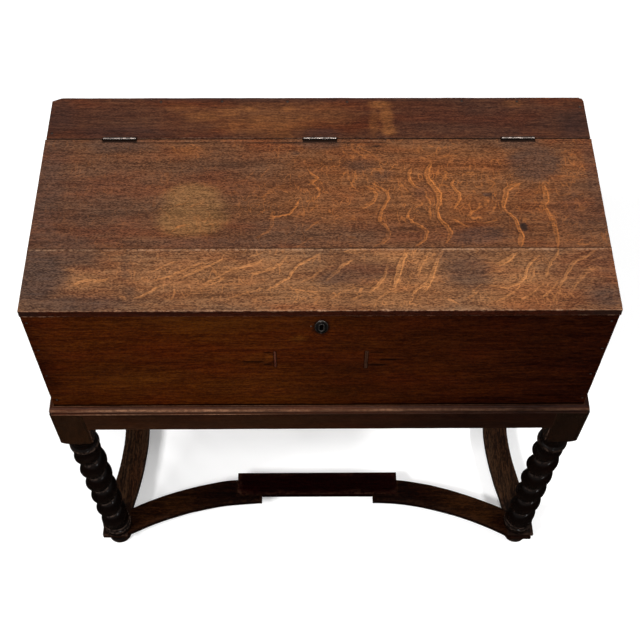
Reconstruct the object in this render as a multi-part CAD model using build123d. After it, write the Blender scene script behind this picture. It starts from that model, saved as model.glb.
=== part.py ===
from build123d import *
import math
import os

# Oak bible box on a low barley-twist stand. Millimetres, +X to the right of
# somebody facing the keyhole, -Y towards that person, +Z up. The origin is on
# the floor under the middle of the piece.

os.makedirs("parts", exist_ok=True)

# ------------------------------------------------------------ driving dimensions
TOP_Z = 830.0          # upper face of the lid and of the fixed top board
LID_HALF_W = 420.0     # half the lid's width
LID_FRONT_Y = -202.5   # front edge of the lid
LID_T = 13.7           # thickness of the lid boards
LID_SEAM_Y = -94.8     # glue joint between the two lid boards
HINGE_Y = 115.9        # line of the hinge pins
HINGE_Z = 830.3
HINGE_GAP = 1.4        # gap between the lid and the fixed top board
FIX_T = 14.0           # thickness of the fixed top board
FIX_HALF_W = 418.7
FIX_BACK_Y = 202.6

BOX_HALF_W = 419.9     # outside of the box
BOX_HALF_D = 200.5
BOX_BOTTOM_Z = 538.0   # the box stands on the rails here
BASE_T = 12.0          # base boards
WALL_T = 16.0          # front and back boards
END_T = 15.0           # end boards
REBATE = 8.0           # depth of the corner rebates in the front and back boards
WALL_BOTTOM = BOX_BOTTOM_Z + BASE_T
WALL_TOP = TOP_Z - FIX_T

BLOCK = 55.0           # square of the leg above the turning
BLOCK_BOTTOM = 446.0
RAIL_T = 22.0          # apron rails
RAIL_BOTTOM = 487.0
APRON_X = 425.1        # outside faces of the stand
APRON_Y = 205.7
LEG_X = APRON_X - BLOCK / 2
LEG_Y = APRON_Y - BLOCK / 2
LIP_W = 7.4            # lip moulding, width on the rail
LIP_H = 22.0
LIP_CLEAR = 0.5        # between the box and the lip

TWIST_R = 25.5         # outside of the barley twist
TWIST_GROOVE = 9.5     # depth of the valley
TWIST_PITCH = 57.0     # one strand, right-handed
TWIST_POWER = 1.55
TWIST_Z0 = 62.0
TWIST_Z1 = 393.0
GROOVE_FRONT_Z = 275.5  # a height at which the valley faces the front
TENON_R = 10.0

PAD_Z0 = 25.0          # stretchers lie flat between the legs and the bun feet
PAD_Z1 = 40.0
PAD_MID = 32.5
PAD_HALF = 24.0
ARC_X = 117.0          # centre of the front and rear stretcher arcs
ARC_Y = 641.2
ARC_R0 = 513.0
ARC_R1 = 555.0
CENTRE_HALF_L = 160.0  # straight middle board of the front and rear stretchers
CENTRE_Y0 = 115.0
CENTRE_Y1 = 71.0
ARC_END_X = 111.0      # inner end of each arc board, half-lapped under it
SIDE_CX0 = 795.5       # side stretcher, inner and outer curves
SIDE_R0 = 450.0
SIDE_CX1 = 778.2
SIDE_R1 = 385.0

HINGE_X = (-306.0, 1.5, 306.5)   # middles of the three butt hinges
HINGE_L = 50.0
KNUCKLE_R = 2.5
PIN_R = 1.0
LEAF_T = 1.2
LEAF_Z0 = 818.5

LOCK_Z = 788.0         # height of the keyhole
EYE_X = (-14.0, 14.0)  # the two eyes of the link plate

nodes = {}


def box(x0, x1, y0, y1, z0, z1):
    return Pos((x0 + x1) / 2, (y0 + y1) / 2, (z0 + z1) / 2) * Box(
        abs(x1 - x0), abs(y1 - y0), abs(z1 - z0)
    )


def cyl(x, y, z0, z1, r):
    return Pos(x, y, (z0 + z1) / 2) * Cylinder(r, z1 - z0)


def cyl_x(x0, x1, y, z, r):
    return Pos((x0 + x1) / 2, y, z) * Rot(0, 90, 0) * Cylinder(r, x1 - x0)


def cyl_y(x, y0, y1, z, r):
    return Pos(x, (y0 + y1) / 2, z) * Rot(90, 0, 0) * Cylinder(r, y1 - y0)


def soften(part, edges, r):
    """Worn arris: rounds the given edges, or leaves them if they are too short."""
    try:
        return fillet(edges, r)
    except Exception:
        return part


def solid_of(part):
    s = part.solids()
    assert len(s) >= 1
    return s[0] if len(s) == 1 else Compound(children=list(s))


def put(name, part):
    nodes[name] = part


# ------------------------------------------------------------------------- legs
def strand_radius(t):
    return TWIST_R - TWIST_GROOVE * abs(2 * t - 1) ** TWIST_POWER


def twist(z0, z1, groove_angle):
    """One strand wound round the leg. groove_angle is where the valley lies at z0."""
    n = 26
    pts = []
    for i in range(n + 1):
        # the valley is at t = 0.5 +- 0.5, i.e. at both ends of the section curve
        t = i / n
        a = groove_angle + 2 * math.pi * t
        r = strand_radius(t)
        pts.append(Vector(r * math.cos(a), r * math.sin(a), z0))
    pts[-1] = pts[0]
    wire = Wire([Edge.make_spline(pts)])
    height = z1 - z0
    return Solid.extrude_linear_with_rotation(
        Face(wire).outer_wire(),
        center=(0, 0, z0),
        normal=(0, 0, height),
        angle=360.0 * height / TWIST_PITCH,
    )


def lathe(profile):
    """Turned solid from (radius, z) points, some given as ('arc', mid, end)."""
    edges = []
    here = profile[0]
    for item in profile[1:]:
        if item[0] == "arc":
            edges.append(
                ThreePointArc(
                    (here[0], 0, here[1]),
                    (item[1][0], 0, item[1][1]),
                    (item[2][0], 0, item[2][1]),
                )
            )
            here = item[2]
        else:
            edges.append(Line((here[0], 0, here[1]), (item[0], 0, item[1])))
            here = item
    edges.append(Line((here[0], 0, here[1]), (0, 0, here[1])))
    edges.append(Line((0, 0, here[1]), (0, 0, profile[0][1])))
    if profile[0][0] > 0:
        edges.append(Line((0, 0, profile[0][1]), (profile[0][0], 0, profile[0][1])))
    return revolve(make_face(Curve() + edges), Axis.Z)


def make_leg(valley_bearing):
    """Leg on the Z axis. valley_bearing is the side that a valley faces at GROOVE_FRONT_Z."""
    return (Rot(0, 0, math.degrees(valley_bearing)) * TURNED) + SQUARE


def make_square():
    """The square block with its lower corners taken off by the turning."""
    shoulder = lathe(
        [
            (28.0, BLOCK_BOTTOM),
            ("arc", (34.5, BLOCK_BOTTOM + 3.2), (38.9, BLOCK_BOTTOM + 13.0)),
            (38.9, BOX_BOTTOM_Z),
        ]
    )
    block = box(
        -BLOCK / 2, BLOCK / 2, -BLOCK / 2, BLOCK / 2, BLOCK_BOTTOM, BOX_BOTTOM_Z
    )
    return block & shoulder


def make_turned():
    """Everything below the block, with the valley facing +X at GROOVE_FRONT_Z."""
    neck = lathe(
        [
            (20.5, TWIST_Z1 - 10),
            (21.0, TWIST_Z1),
            (23.0, TWIST_Z1 + 1.0),
            ("arc", (26.3, 402.5), (23.4, 411.0)),
            (21.6, 412.0),
            ("arc", (20.2, 424.0), (24.5, 436.0)),
            (27.3, BLOCK_BOTTOM + 0.5),
            (27.3, BLOCK_BOTTOM + 6.0),
        ]
    )
    base = lathe(
        [
            (24.0, PAD_Z1),
            ("arc", (25.6, 44.5), (24.2, 49.0)),
            (23.0, 50.5),
            ("arc", (22.3, 57.0), (22.8, TWIST_Z0 + 4.0)),
            (20.0, TWIST_Z0 + 9.0),
        ]
    )
    start = 2 * math.pi * (TWIST_Z0 - GROOVE_FRONT_Z) / TWIST_PITCH
    leg = twist(TWIST_Z0, TWIST_Z1, start) + neck + base
    leg = leg + cyl(0, 0, 12.0, PAD_Z1 + 6.0, TENON_R)
    return leg


TURNED = make_turned()
SQUARE = make_square()


FRONT = -math.pi / 2
SIDES = {
    "front_left": (-1, -1, FRONT),
    "front_right": (1, -1, FRONT),
    "rear_left": (-1, 1, FRONT + 2.1),
    "rear_right": (1, 1, FRONT - 1.3),
}

TENON_X_Y = (APRON_Y - 14.0, APRON_Y - 6.0)    # front and rear rail tenons, |y|
TENON_Y_X = (APRON_X - 15.0, APRON_X - 7.0)    # side rail tenons, |x|
TENON_L = 22.0
TENON_Z = (RAIL_BOTTOM + 6.0, BOX_BOTTOM_Z - 7.0)


def bun_foot():
    foot = lathe(
        [
            (13.0, 0.0),
            ("arc", (16.8, 1.6), (19.6, 5.0)),
            ("arc", (21.6, 11.5), (19.3, 18.5)),
            ("arc", (17.4, 21.0), (16.6, PAD_Z0)),
        ]
    )
    return foot - cyl(0, 0, 12.0, PAD_Z0 + 1, TENON_R)


for key, (sx, sy, bearing) in SIDES.items():
    leg = Pos(sx * LEG_X, sy * LEG_Y, 0) * make_leg(bearing)
    # mortises for the two rails that meet in the block
    x_in = sx * (LEG_X - BLOCK / 2)
    leg = leg - box(
        x_in,
        x_in + sx * TENON_L,
        sy * TENON_X_Y[0],
        sy * TENON_X_Y[1],
        *TENON_Z,
    )
    y_in = sy * (LEG_Y - BLOCK / 2)
    leg = leg - box(
        sx * TENON_Y_X[0],
        sx * TENON_Y_X[1],
        y_in,
        y_in + sy * TENON_L,
        *TENON_Z,
    )
    put("leg_" + key, leg)
    put("bun_foot_" + key, Pos(sx * LEG_X, sy * LEG_Y, 0) * bun_foot())

# ------------------------------------------------------------------- apron rails
rail_x = LEG_X - BLOCK / 2
rail_y = LEG_Y - BLOCK / 2
for key, sy in (("front", -1), ("rear", 1)):
    rail = box(
        -rail_x, rail_x, sy * APRON_Y, sy * (APRON_Y - RAIL_T), RAIL_BOTTOM, BOX_BOTTOM_Z
    )
    low = [
        e
        for e in rail.edges().filter_by(Axis.X)
        if abs(e.center().Z - RAIL_BOTTOM) < 0.01
    ]
    rail = soften(rail, low, 1.2)
    for sx in (-1, 1):
        rail = rail + box(
            sx * (rail_x - 5),
            sx * (rail_x + TENON_L),
            sy * TENON_X_Y[0],
            sy * TENON_X_Y[1],
            *TENON_Z,
        )
    put("apron_rail_" + key, rail)
for key, sx in (("left", -1), ("right", 1)):
    rail = box(
        sx * APRON_X, sx * (APRON_X - RAIL_T), -rail_y, rail_y, RAIL_BOTTOM, BOX_BOTTOM_Z
    )
    low = [
        e
        for e in rail.edges().filter_by(Axis.Y)
        if abs(e.center().Z - RAIL_BOTTOM) < 0.01
    ]
    rail = soften(rail, low, 1.2)
    for sy in (-1, 1):
        rail = rail + box(
            sx * TENON_Y_X[0],
            sx * TENON_Y_X[1],
            sy * (rail_y - 5),
            sy * (rail_y + TENON_L),
            *TENON_Z,
        )
    put("apron_rail_" + key, rail)

# ----------------------------------------------------------------- lip mouldings
# Section of the lip: d is the distance outwards from the box face, z the height.
LIP_IN = LIP_CLEAR
LIP_OUT = LIP_CLEAR + LIP_W


def lip_section():
    z = BOX_BOTTOM_Z
    p = lambda d, h: (0, -d, z + h)
    edges = [
        Line(p(LIP_IN, 0), p(LIP_IN, LIP_H)),
        Line(p(LIP_IN, LIP_H), p(3.2, LIP_H)),
        ThreePointArc(p(3.2, LIP_H), p(6.9, LIP_H - 2.6), p(LIP_OUT, LIP_H - 7.0)),
        ThreePointArc(p(LIP_OUT, LIP_H - 7.0), p(7.4, LIP_H - 11.3), p(6.0, LIP_H - 13.0)),
        ThreePointArc(p(6.0, LIP_H - 13.0), p(4.9, LIP_H - 15.4), p(5.5, LIP_H - 17.4)),
        ThreePointArc(p(5.5, LIP_H - 17.4), p(6.9, LIP_H - 19.2), p(6.3, LIP_H - 21.3)),
        Line(p(6.3, LIP_H - 21.3), p(5.6, 0)),
        Line(p(5.6, 0), p(LIP_IN, 0)),
    ]
    return make_face(Curve() + edges)


def lip(length_half, face, corner):
    """Moulding along X whose inner face starts at y = -face, mitred at both ends."""
    bar = Pos(-length_half - 12, -face, 0) * extrude(
        lip_section(), 2 * length_half + 24, dir=(1, 0, 0)
    )
    a, f = corner, face
    plan = Polyline(
        (-a - 20, -f - 20), (a + 20, -f - 20), (a - 20, -f + 20), (-a + 20, -f + 20),
        close=True,
    )
    prism = extrude(make_face(plan), 60)
    return bar & (Pos(0, 0, BOX_BOTTOM_Z - 10) * prism)


long_lip = lip(BOX_HALF_W, BOX_HALF_D, BOX_HALF_W)
short_lip = lip(BOX_HALF_D, BOX_HALF_W, BOX_HALF_D)
put("lip_moulding_front", long_lip)
put("lip_moulding_rear", Rot(0, 0, 180) * long_lip)
put("lip_moulding_left", Rot(0, 0, -90) * short_lip)
put("lip_moulding_right", Rot(0, 0, 90) * short_lip)

# -------------------------------------------------------------------- stretchers
def disc(x, y, r):
    return Pos(x, y) * Circle(r)


def rect(x0, x1, y0, y1):
    return Pos((x0 + x1) / 2, (y0 + y1) / 2) * Rectangle(abs(x1 - x0), abs(y1 - y0))


def slab(plan, z0, z1):
    return Pos(0, 0, z0) * extrude(plan, z1 - z0)


def pad_plan(sx, sy):
    return rect(
        sx * (LEG_X - PAD_HALF),
        sx * (LEG_X + PAD_HALF),
        sy * (LEG_Y - PAD_HALF),
        sy * (LEG_Y + PAD_HALF),
    )


def arc_plan(sx, sy):
    ring = disc(sx * ARC_X, sy * ARC_Y, ARC_R1) - disc(sx * ARC_X, sy * ARC_Y, ARC_R0)
    return ring & rect(sx * ARC_END_X, sx * (LEG_X - PAD_HALF + 3), sy * 60, sy * 204)


def side_plan(sx):
    ring = disc(sx * SIDE_CX0, 0, SIDE_R0) - disc(sx * SIDE_CX1, 0, SIDE_R1)
    return ring & rect(sx * 330, sx * 421.6, -(LEG_Y - PAD_HALF + 1.5), LEG_Y - PAD_HALF + 1.5)


centre_plan = {
    sy: rect(-CENTRE_HALF_L, CENTRE_HALF_L, sy * CENTRE_Y0, sy * CENTRE_Y1) for sy in (-1, 1)
}
PAD_SLOT = {k: cyl(sx * LEG_X, sy * LEG_Y, PAD_Z0 - 1, PAD_Z1 + 1, TENON_R) for k, (sx, sy, b) in SIDES.items()}

for fb, sy in (("front", -1), ("rear", 1)):
    for lr, sx in (("left", -1), ("right", 1)):
        pad = pad_plan(sx, sy)
        arc = arc_plan(sx, sy)
        board = slab(arc, PAD_Z0, PAD_Z1) + slab(pad, PAD_Z0, PAD_MID)
        # the side stretcher lies over this board at the leg, the middle board at the other end
        board = board - slab(pad, PAD_MID, PAD_Z1 + 1)
        board = board - slab(side_plan(sx), PAD_MID, PAD_Z1 + 1)
        board = board - slab(centre_plan[sy], PAD_MID, PAD_Z1 + 1)
        board = board - PAD_SLOT[fb + "_" + lr]
        put("stretcher_%s_%s_arc" % (fb, lr), board)
    centre = slab(centre_plan[sy], PAD_Z0, PAD_Z1)
    for sx in (-1, 1):
        centre = centre - slab(arc_plan(sx, sy), PAD_Z0 - 1, PAD_MID)
    put("stretcher_%s_centre" % fb, centre)
for lr, sx in (("left", -1), ("right", 1)):
    board = slab(side_plan(sx), PAD_Z0, PAD_Z1)
    for sy in (-1, 1):
        board = board + slab(pad_plan(sx, sy), PAD_MID, PAD_Z1)
    for sy in (-1, 1):
        board = board - slab(pad_plan(sx, sy), PAD_Z0 - 1, PAD_MID)
        board = board - slab(arc_plan(sx, sy), PAD_Z0 - 1, PAD_MID)
        board = board - PAD_SLOT[("front_" if sy < 0 else "rear_") + lr]
    put("stretcher_side_" + lr, board)

# ----------------------------------------------------------------- nails, screws
def nail(x, y, z, length, axis, head_r=2.4, shank_r=1.1, head_t=1.2):
    """Cut nail whose head is flush at the given point, driven along axis."""
    n = Cylinder(head_r, head_t, align=(Align.CENTER, Align.CENTER, Align.MAX))
    n = n + Pos(0, 0, -head_t) * Cylinder(
        shank_r, length - head_t, align=(Align.CENTER, Align.CENTER, Align.MAX)
    )
    turn = {
        "-z": Rot(0, 0, 0),
        "+z": Rot(180, 0, 0),
        "+y": Rot(90, 0, 0),
        "-y": Rot(-90, 0, 0),
    }[axis]
    return Pos(x, y, z) * turn * n


def screw(x, y, z, length, axis, head_r=2.5, shank_r=1.3, head_t=1.2):
    """Countersunk slotted screw, head flush at the given point."""
    s = Cone(shank_r, head_r, head_t, align=(Align.CENTER, Align.CENTER, Align.MAX))
    s = s + Pos(0, 0, -head_t) * Cylinder(
        shank_r, length - head_t, align=(Align.CENTER, Align.CENTER, Align.MAX)
    )
    slot = Box(head_r * 2.2, 0.5, 0.6, align=(Align.CENTER, Align.CENTER, Align.MAX))
    turn = {
        "-z": Rot(0, 0, 0),
        "+z": Rot(180, 0, 0),
        "+y": Rot(90, 0, 0),
        "-y": Rot(-90, 0, 0),
    }[axis]
    place = Pos(x, y, z) * turn
    return place * (s - slot), place * s


def group(parts):
    return Compound(children=[solid_of(p) for p in parts])


top_nails = [
    nail(x, y, TOP_Z, l, "-z")
    for x, y, l in (
        (-248, 194.5, 44),
        (-152, 195.5, 44),
        (-49, 195.0, 44),
        (45, 194.0, 44),
        (226, 195.5, 44),
        (313, 194.5, 44),
        (411.5, 182.5, 44),
        (-411.5, 128.5, 44),
    )
]
corner_nails = []
for sy in (-1, 1):
    for sx in (-1, 1):
        for i, z in enumerate((577.0, 651.0, 724.0, 796.9 if sy < 0 else 779.0)):
            x = sx * (412.6 + (1.4 if (i + (sx > 0)) % 2 else -0.8))
            corner_nails.append(
                nail(x, sy * BOX_HALF_D, z, 34, "+y" if sy < 0 else "-y", 2.2)
            )
base_nails = []
for x in (-330.0, -165.0, 0.0, 165.0, 330.0):
    for sy in (-1, 1):
        base_nails.append(nail(x, sy * 192.0, BOX_BOTTOM_Z, 34, "+z", 2.4))
for y in (-90.0, 60.0):
    for sx in (-1, 1):
        base_nails.append(nail(sx * 412.4, y, BOX_BOTTOM_Z, 34, "+z", 2.4))
put("top_board_nails", group(top_nails))
put("box_corner_nails", group(corner_nails))
put("base_board_nails", group(base_nails))

# ---------------------------------------------------------------------- the hinges
fixed_leaves, lid_leaves, pins = [], [], []
hinge_screws_fixed, hinge_holes_fixed = [], []
hinge_screws_lid, hinge_holes_lid = [], []
GAP_Y0 = HINGE_Y - HINGE_GAP / 2   # rear face of the lid
GAP_Y1 = HINGE_Y + HINGE_GAP / 2   # front face of the fixed board
for hx in HINGE_X:
    x0 = hx - HINGE_L / 2
    part = HINGE_L / 5
    plate_top = HINGE_Z - 2.8
    fixed = box(x0, x0 + HINGE_L, GAP_Y1, GAP_Y1 + LEAF_T, LEAF_Z0, plate_top)
    moving = box(x0, x0 + HINGE_L, GAP_Y0 - LEAF_T, GAP_Y0, LEAF_Z0, plate_top)
    for i in range(5):
        a = x0 + i * part + (0.15 if i else 0.0)
        b = x0 + (i + 1) * part - (0.15 if i < 4 else 0.0)
        barrel = cyl_x(a, b, HINGE_Y, HINGE_Z, KNUCKLE_R)
        if i % 2 == 0:
            fixed = fixed + box(a, b, GAP_Y1, GAP_Y1 + LEAF_T, plate_top - 1, HINGE_Z) + barrel
        else:
            moving = moving + box(a, b, GAP_Y0 - LEAF_T, GAP_Y0, plate_top - 1, HINGE_Z) + barrel
    fixed = fixed - cyl_x(x0 - 1, x0 + HINGE_L + 1, HINGE_Y, HINGE_Z, PIN_R)
    moving = moving - cyl_x(x0 - 1, x0 + HINGE_L + 1, HINGE_Y, HINGE_Z, PIN_R + 0.05)
    for dx in (-17.0, 0.0, 17.0):
        s, h = screw(hx + dx, GAP_Y1, 822.8, 13, "+y", 2.3, 1.2, 1.2)
        hinge_screws_fixed.append(s)
        hinge_holes_fixed.append(h)
        fixed = fixed - h
        s, h = screw(hx + dx, GAP_Y0, 822.8, 13, "-y", 2.3, 1.2, 1.2)
        hinge_screws_lid.append(s)
        hinge_holes_lid.append(h)
        moving = moving - h
    fixed_leaves.append(fixed)
    lid_leaves.append(moving)
    pins.append(cyl_x(x0 - 0.4, x0 + HINGE_L + 0.4, HINGE_Y, HINGE_Z, PIN_R))
for key, f, m in zip(("left", "centre", "right"), fixed_leaves, lid_leaves):
    put("hinge_leaf_fixed_" + key, f)
    put("hinge_leaf_lid_" + key, m)
put("hinge_pins", group(pins))
put("hinge_screws_fixed", group(hinge_screws_fixed))
put("hinge_screws_lid", group(hinge_screws_lid))


def hinge_gains(board, rear_of_gap):
    """Sinks the leaves and the barrels into a board edge."""
    for hx in HINGE_X:
        x0, x1 = hx - HINGE_L / 2, hx + HINGE_L / 2
        if rear_of_gap:
            board = board - box(x0, x1, GAP_Y1 - 1, GAP_Y1 + LEAF_T, LEAF_Z0, TOP_Z + 1)
        else:
            board = board - box(x0, x1, GAP_Y0 - LEAF_T, GAP_Y0 + 1, LEAF_Z0, TOP_Z + 1)
        board = board - cyl_x(x0 - 0.8, x1 + 0.8, HINGE_Y, HINGE_Z, KNUCKLE_R + 0.3)
    return board


# ------------------------------------------------------------------------- the lock
CASE_X = 31.0
CASE_Y0, CASE_Y1 = -195.3, -184.5
CASE_Z0, CASE_Z1 = 772.0, 815.9
CASE_WALL = 1.3


def keyhole_cut(y0, y1, r, w, drop):
    k = cyl_y(0, y0, y1, LOCK_Z + 2.0, r)
    return k + box(-w / 2, w / 2, y0, y1, LOCK_Z + 2.0 - drop, LOCK_Z + 2.0)


case = box(-CASE_X, CASE_X, CASE_Y0, CASE_Y1, CASE_Z0, CASE_Z1)
case = case - box(
    -CASE_X + CASE_WALL,
    CASE_X - CASE_WALL,
    CASE_Y0 + CASE_WALL,
    CASE_Y1 + 1,
    CASE_Z0 + CASE_WALL,
    CASE_Z1 - CASE_WALL,
)
for ex in EYE_X:
    case = case - box(ex - 3.5, ex + 3.5, CASE_Y0 + CASE_WALL, CASE_Y1 + 1, CASE_Z1 - 3, CASE_Z1 + 1)
case = case - keyhole_cut(CASE_Y0 - 1, CASE_Y0 + CASE_WALL + 0.5, 3.3, 3.0, 11.5)
for lx in (-17.0, 8.0):
    case = case + box(lx - 3, lx + 3, CASE_Y0 + CASE_WALL - 0.2, -188.0, 792.6, 795.8)
put("lock_case", case)

CAP_X, CAP_Z0, CAP_Z1 = 38.0, 766.0, 815.9
CAP_Y0, CAP_Y1 = -184.5, -183.0
cap = box(-CAP_X, CAP_X, CAP_Y0, CAP_Y1, CAP_Z0, CAP_Z1)
for ex in EYE_X:
    cap = cap - box(ex - 3.5, ex + 3.5, CAP_Y0 - 1, CAP_Y0 + 0.4, CASE_Z1 - 14, CASE_Z1 + 1)
cap = cap + cyl_y(0, CASE_Y0 + CASE_WALL + 0.6, CAP_Y0 + 0.2, LOCK_Z + 2.0, 1.3)
lock_screws, lock_holes = [], []
for lx in (-34.0, 34.0):
    for lz in (771.0, 810.5):
        s, h = screw(lx, CAP_Y1, lz, 10.5, "-y", 2.6, 1.3, 1.4)
        lock_screws.append(s)
        lock_holes.append(h)
        cap = cap - h
put("lock_plate", cap)
put("lock_screws", group(lock_screws))

BOLT_Y = -189.9
bolt = box(-28.0, 12.0, BOLT_Y - 1.4, BOLT_Y + 1.4, 796.0, 803.6)
for ex in EYE_X:
    root = ex - 14.0
    bolt = bolt + box(root, root + 3.0, BOLT_Y - 1.1, BOLT_Y + 1.1, 803.0, 811.6)
    bolt = bolt + box(root, ex - 2.5, BOLT_Y - 1.1, BOLT_Y + 1.1, 808.6, 811.6)
bolt = bolt - box(-3.4, 3.4, BOLT_Y - 2, BOLT_Y + 2, 795.0, 799.2)
put("lock_bolt", bolt)

# bowed leaf spring between the bolt and the front of the case
sp_y = CASE_Y0 + CASE_WALL
spring_plan = make_face(
    Curve()
    + [
        ThreePointArc((-24, sp_y), (-13, sp_y + 2.4), (-2, sp_y)),
        Line((-2, sp_y), (-2.6, sp_y)),
        ThreePointArc((-2.6, sp_y), (-13, sp_y + 1.8), (-23.4, sp_y)),
        Line((-23.4, sp_y), (-24, sp_y)),
    ]
)
put("lock_spring", Pos(0, 0, 800.0) * extrude(spring_plan, 3.2))

# link plate under the lid with its two eyes
LINK_Z0 = TOP_Z - LID_T
link = box(-29, 29, -196.0, -184.0, LINK_Z0, LINK_Z0 + 2.0)
for ex in EYE_X:
    eye = box(ex - 1.5, ex + 1.5, BOLT_Y - 2.6, BOLT_Y + 2.6, LINK_Z0 - 11.0, LINK_Z0 + 0.5)
    eye = eye - box(ex - 3, ex + 3, BOLT_Y - 1.5, BOLT_Y + 1.5, 808.1, 812.1)
    link = link + eye
link_screws, link_holes = [], []
for lx in (-24.0, 24.0):
    s, h = screw(lx, -190.0, LINK_Z0, 10.5, "+z", 2.6, 1.3, 1.4)
    link_screws.append(s)
    link_holes.append(h)
    link = link - h
put("lock_link_plate", link)
put("link_plate_screws", group(link_screws))

# --------------------------------------------------------------- keyhole escutcheon
ESC_Z = 785.7
ESC_W, ESC_H = 10.4, 17.0
esc = extrude(Ellipse(ESC_W, ESC_H), 1.6)
esc = soften(esc, esc.edges().filter_by(GeomType.ELLIPSE).group_by(Axis.Z)[-1], 0.9)
rim = extrude(Pos(0, 0) * SlotOverall(17.5, 9.0, rotation=90), 2.7) - extrude(
    SlotOverall(14.5, 6.0, rotation=90), 4
)
esc = esc + rim
esc = Pos(0, -BOX_HALF_D, ESC_Z) * Rot(90, 0, 0) * esc
esc = esc - keyhole_cut(-BOX_HALF_D - 6, -BOX_HALF_D + 6, 2.9, 2.6, 10.5)
pin_list = []
for px, pz in ((0.0, ESC_Z - 13.4), (0.0, ESC_Z + 13.6)):
    p = cyl_y(px, -BOX_HALF_D - 2.4, -BOX_HALF_D + 4.8, pz, 1.1)
    esc = esc - p
    pin_list.append(p)
stray = cyl_y(-15.0, -BOX_HALF_D - 0.8, -BOX_HALF_D + 4.8, ESC_Z + 4.0, 1.2)
pin_list.append(stray)
put("keyhole_escutcheon", esc)
put("escutcheon_pins", group(pin_list))

# ------------------------------------------------------------------ box carcase
front = box(-BOX_HALF_W, BOX_HALF_W, -BOX_HALF_D, -BOX_HALF_D + WALL_T, WALL_BOTTOM, WALL_TOP)
front = soften(
    front,
    [e for e in front.edges().filter_by(Axis.Z) if e.center().Y < -BOX_HALF_D + 0.1],
    1.2,
)
back = box(-BOX_HALF_W, BOX_HALF_W, BOX_HALF_D - WALL_T, BOX_HALF_D, WALL_BOTTOM, WALL_TOP)
back = soften(
    back,
    [e for e in back.edges().filter_by(Axis.Z) if e.center().Y > BOX_HALF_D - 0.1],
    1.2,
)
inner = BOX_HALF_D - WALL_T
for sx in (-1, 1):
    front = front - box(
        sx * (BOX_HALF_W - END_T), sx * (BOX_HALF_W + 2), -inner - REBATE, -inner + 1,
        WALL_BOTTOM - 1, WALL_TOP + 1,
    )
    back = back - box(
        sx * (BOX_HALF_W - END_T), sx * (BOX_HALF_W + 2), inner - 1, inner + REBATE,
        WALL_BOTTOM - 1, WALL_TOP + 1,
    )
ends = {}
for key, sx in (("left", -1), ("right", 1)):
    ends[key] = box(
        sx * (BOX_HALF_W - END_T), sx * BOX_HALF_W, -inner - REBATE, inner + REBATE,
        WALL_BOTTOM, WALL_TOP,
    )
# lock mortise, keyhole and pins
front = front - box(-CASE_X, CASE_X, CASE_Y0, CASE_Y1 + 1, CASE_Z0, WALL_TOP + 1)
front = front - keyhole_cut(-BOX_HALF_D - 1, CASE_Y0 + 1, 3.3, 3.0, 11.5)
for h in lock_holes + pin_list:
    front = front - h
# two thin slips let into the face
SLIPS = {"left": (-67.4, 4.2, 676.0, 719.5), "right": (68.3, 5.4, 672.0, 723.0)}
SLIP_DEPTH = 5.0
for key, (x, w, z0, z1) in SLIPS.items():
    slip = box(x - w / 2, x + w / 2, -BOX_HALF_D, -BOX_HALF_D + SLIP_DEPTH, z0, z1)
    front = front - slip
    put("front_slip_" + key, slip)

base_front = box(-BOX_HALF_W, BOX_HALF_W, -BOX_HALF_D, -12.0, BOX_BOTTOM_Z, WALL_BOTTOM)
base_rear = box(-BOX_HALF_W, BOX_HALF_W, -11.4, BOX_HALF_D, BOX_BOTTOM_Z, WALL_BOTTOM)

fixed_board = box(-FIX_HALF_W, FIX_HALF_W, GAP_Y1, FIX_BACK_Y, TOP_Z - FIX_T, TOP_Z)
# a broken corner at the rear left and a rubbed one at the rear right
fixed_board = fixed_board - (
    Pos(0, 0, TOP_Z - 30)
    * extrude(
        make_face(
            Polyline(
                (-FIX_HALF_W - 1, FIX_BACK_Y - 7.8),
                (-FIX_HALF_W + 17.5, FIX_BACK_Y + 0.6),
                (-FIX_HALF_W - 1, FIX_BACK_Y + 3),
                close=True,
            )
        ),
        40,
    )
)
fixed_board = soften(
    fixed_board,
    [
        e
        for e in fixed_board.edges().filter_by(Axis.Z)
        if e.center().X > FIX_HALF_W - 1 and e.center().Y > FIX_BACK_Y - 1
    ],
    4.0,
)
fixed_board = soften(
    fixed_board,
    [
        e
        for e in fixed_board.edges().filter_by(Axis.X)
        if e.center().Z > TOP_Z - 0.1 and e.center().Y > FIX_BACK_Y - 1
    ],
    1.2,
)
fixed_board = hinge_gains(fixed_board, True)
for h in hinge_holes_fixed:
    fixed_board = fixed_board - h
for n in top_nails:
    fixed_board = fixed_board - n
    back = back - n
    for key in ends:
        ends[key] = ends[key] - n
for n in corner_nails:
    front = front - n
    back = back - n
    for key in ends:
        ends[key] = ends[key] - n
for n in base_nails:
    base_front = base_front - n
    base_rear = base_rear - n
    front = front - n
    back = back - n
    for key in ends:
        ends[key] = ends[key] - n

put("box_front_board", front)
put("box_back_board", back)
put("box_end_left", ends["left"])
put("box_end_right", ends["right"])
put("base_board_front", base_front)
put("base_board_rear", base_rear)
put("fixed_top_board", fixed_board)

# --------------------------------------------------------------------------- lid
LID_BOTTOM = TOP_Z - LID_T
lid_front = box(-LID_HALF_W, LID_HALF_W, LID_FRONT_Y, LID_SEAM_Y, LID_BOTTOM, TOP_Z)
lid_front = soften(
    lid_front,
    [
        e
        for e in lid_front.edges().filter_by(Axis.X)
        if e.center().Y < LID_FRONT_Y + 0.1
    ],
    1.6,
)
lid_rear = box(-LID_HALF_W, LID_HALF_W, LID_SEAM_Y, GAP_Y0, LID_BOTTOM, TOP_Z)
lid_rear = hinge_gains(lid_rear, False)
for h in hinge_holes_lid:
    lid_rear = lid_rear - h
lid_front = lid_front - box(-29, 29, -196.0, -184.0, LINK_Z0 - 1, LINK_Z0 + 2.0)
for h in link_holes:
    lid_front = lid_front - h

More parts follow.
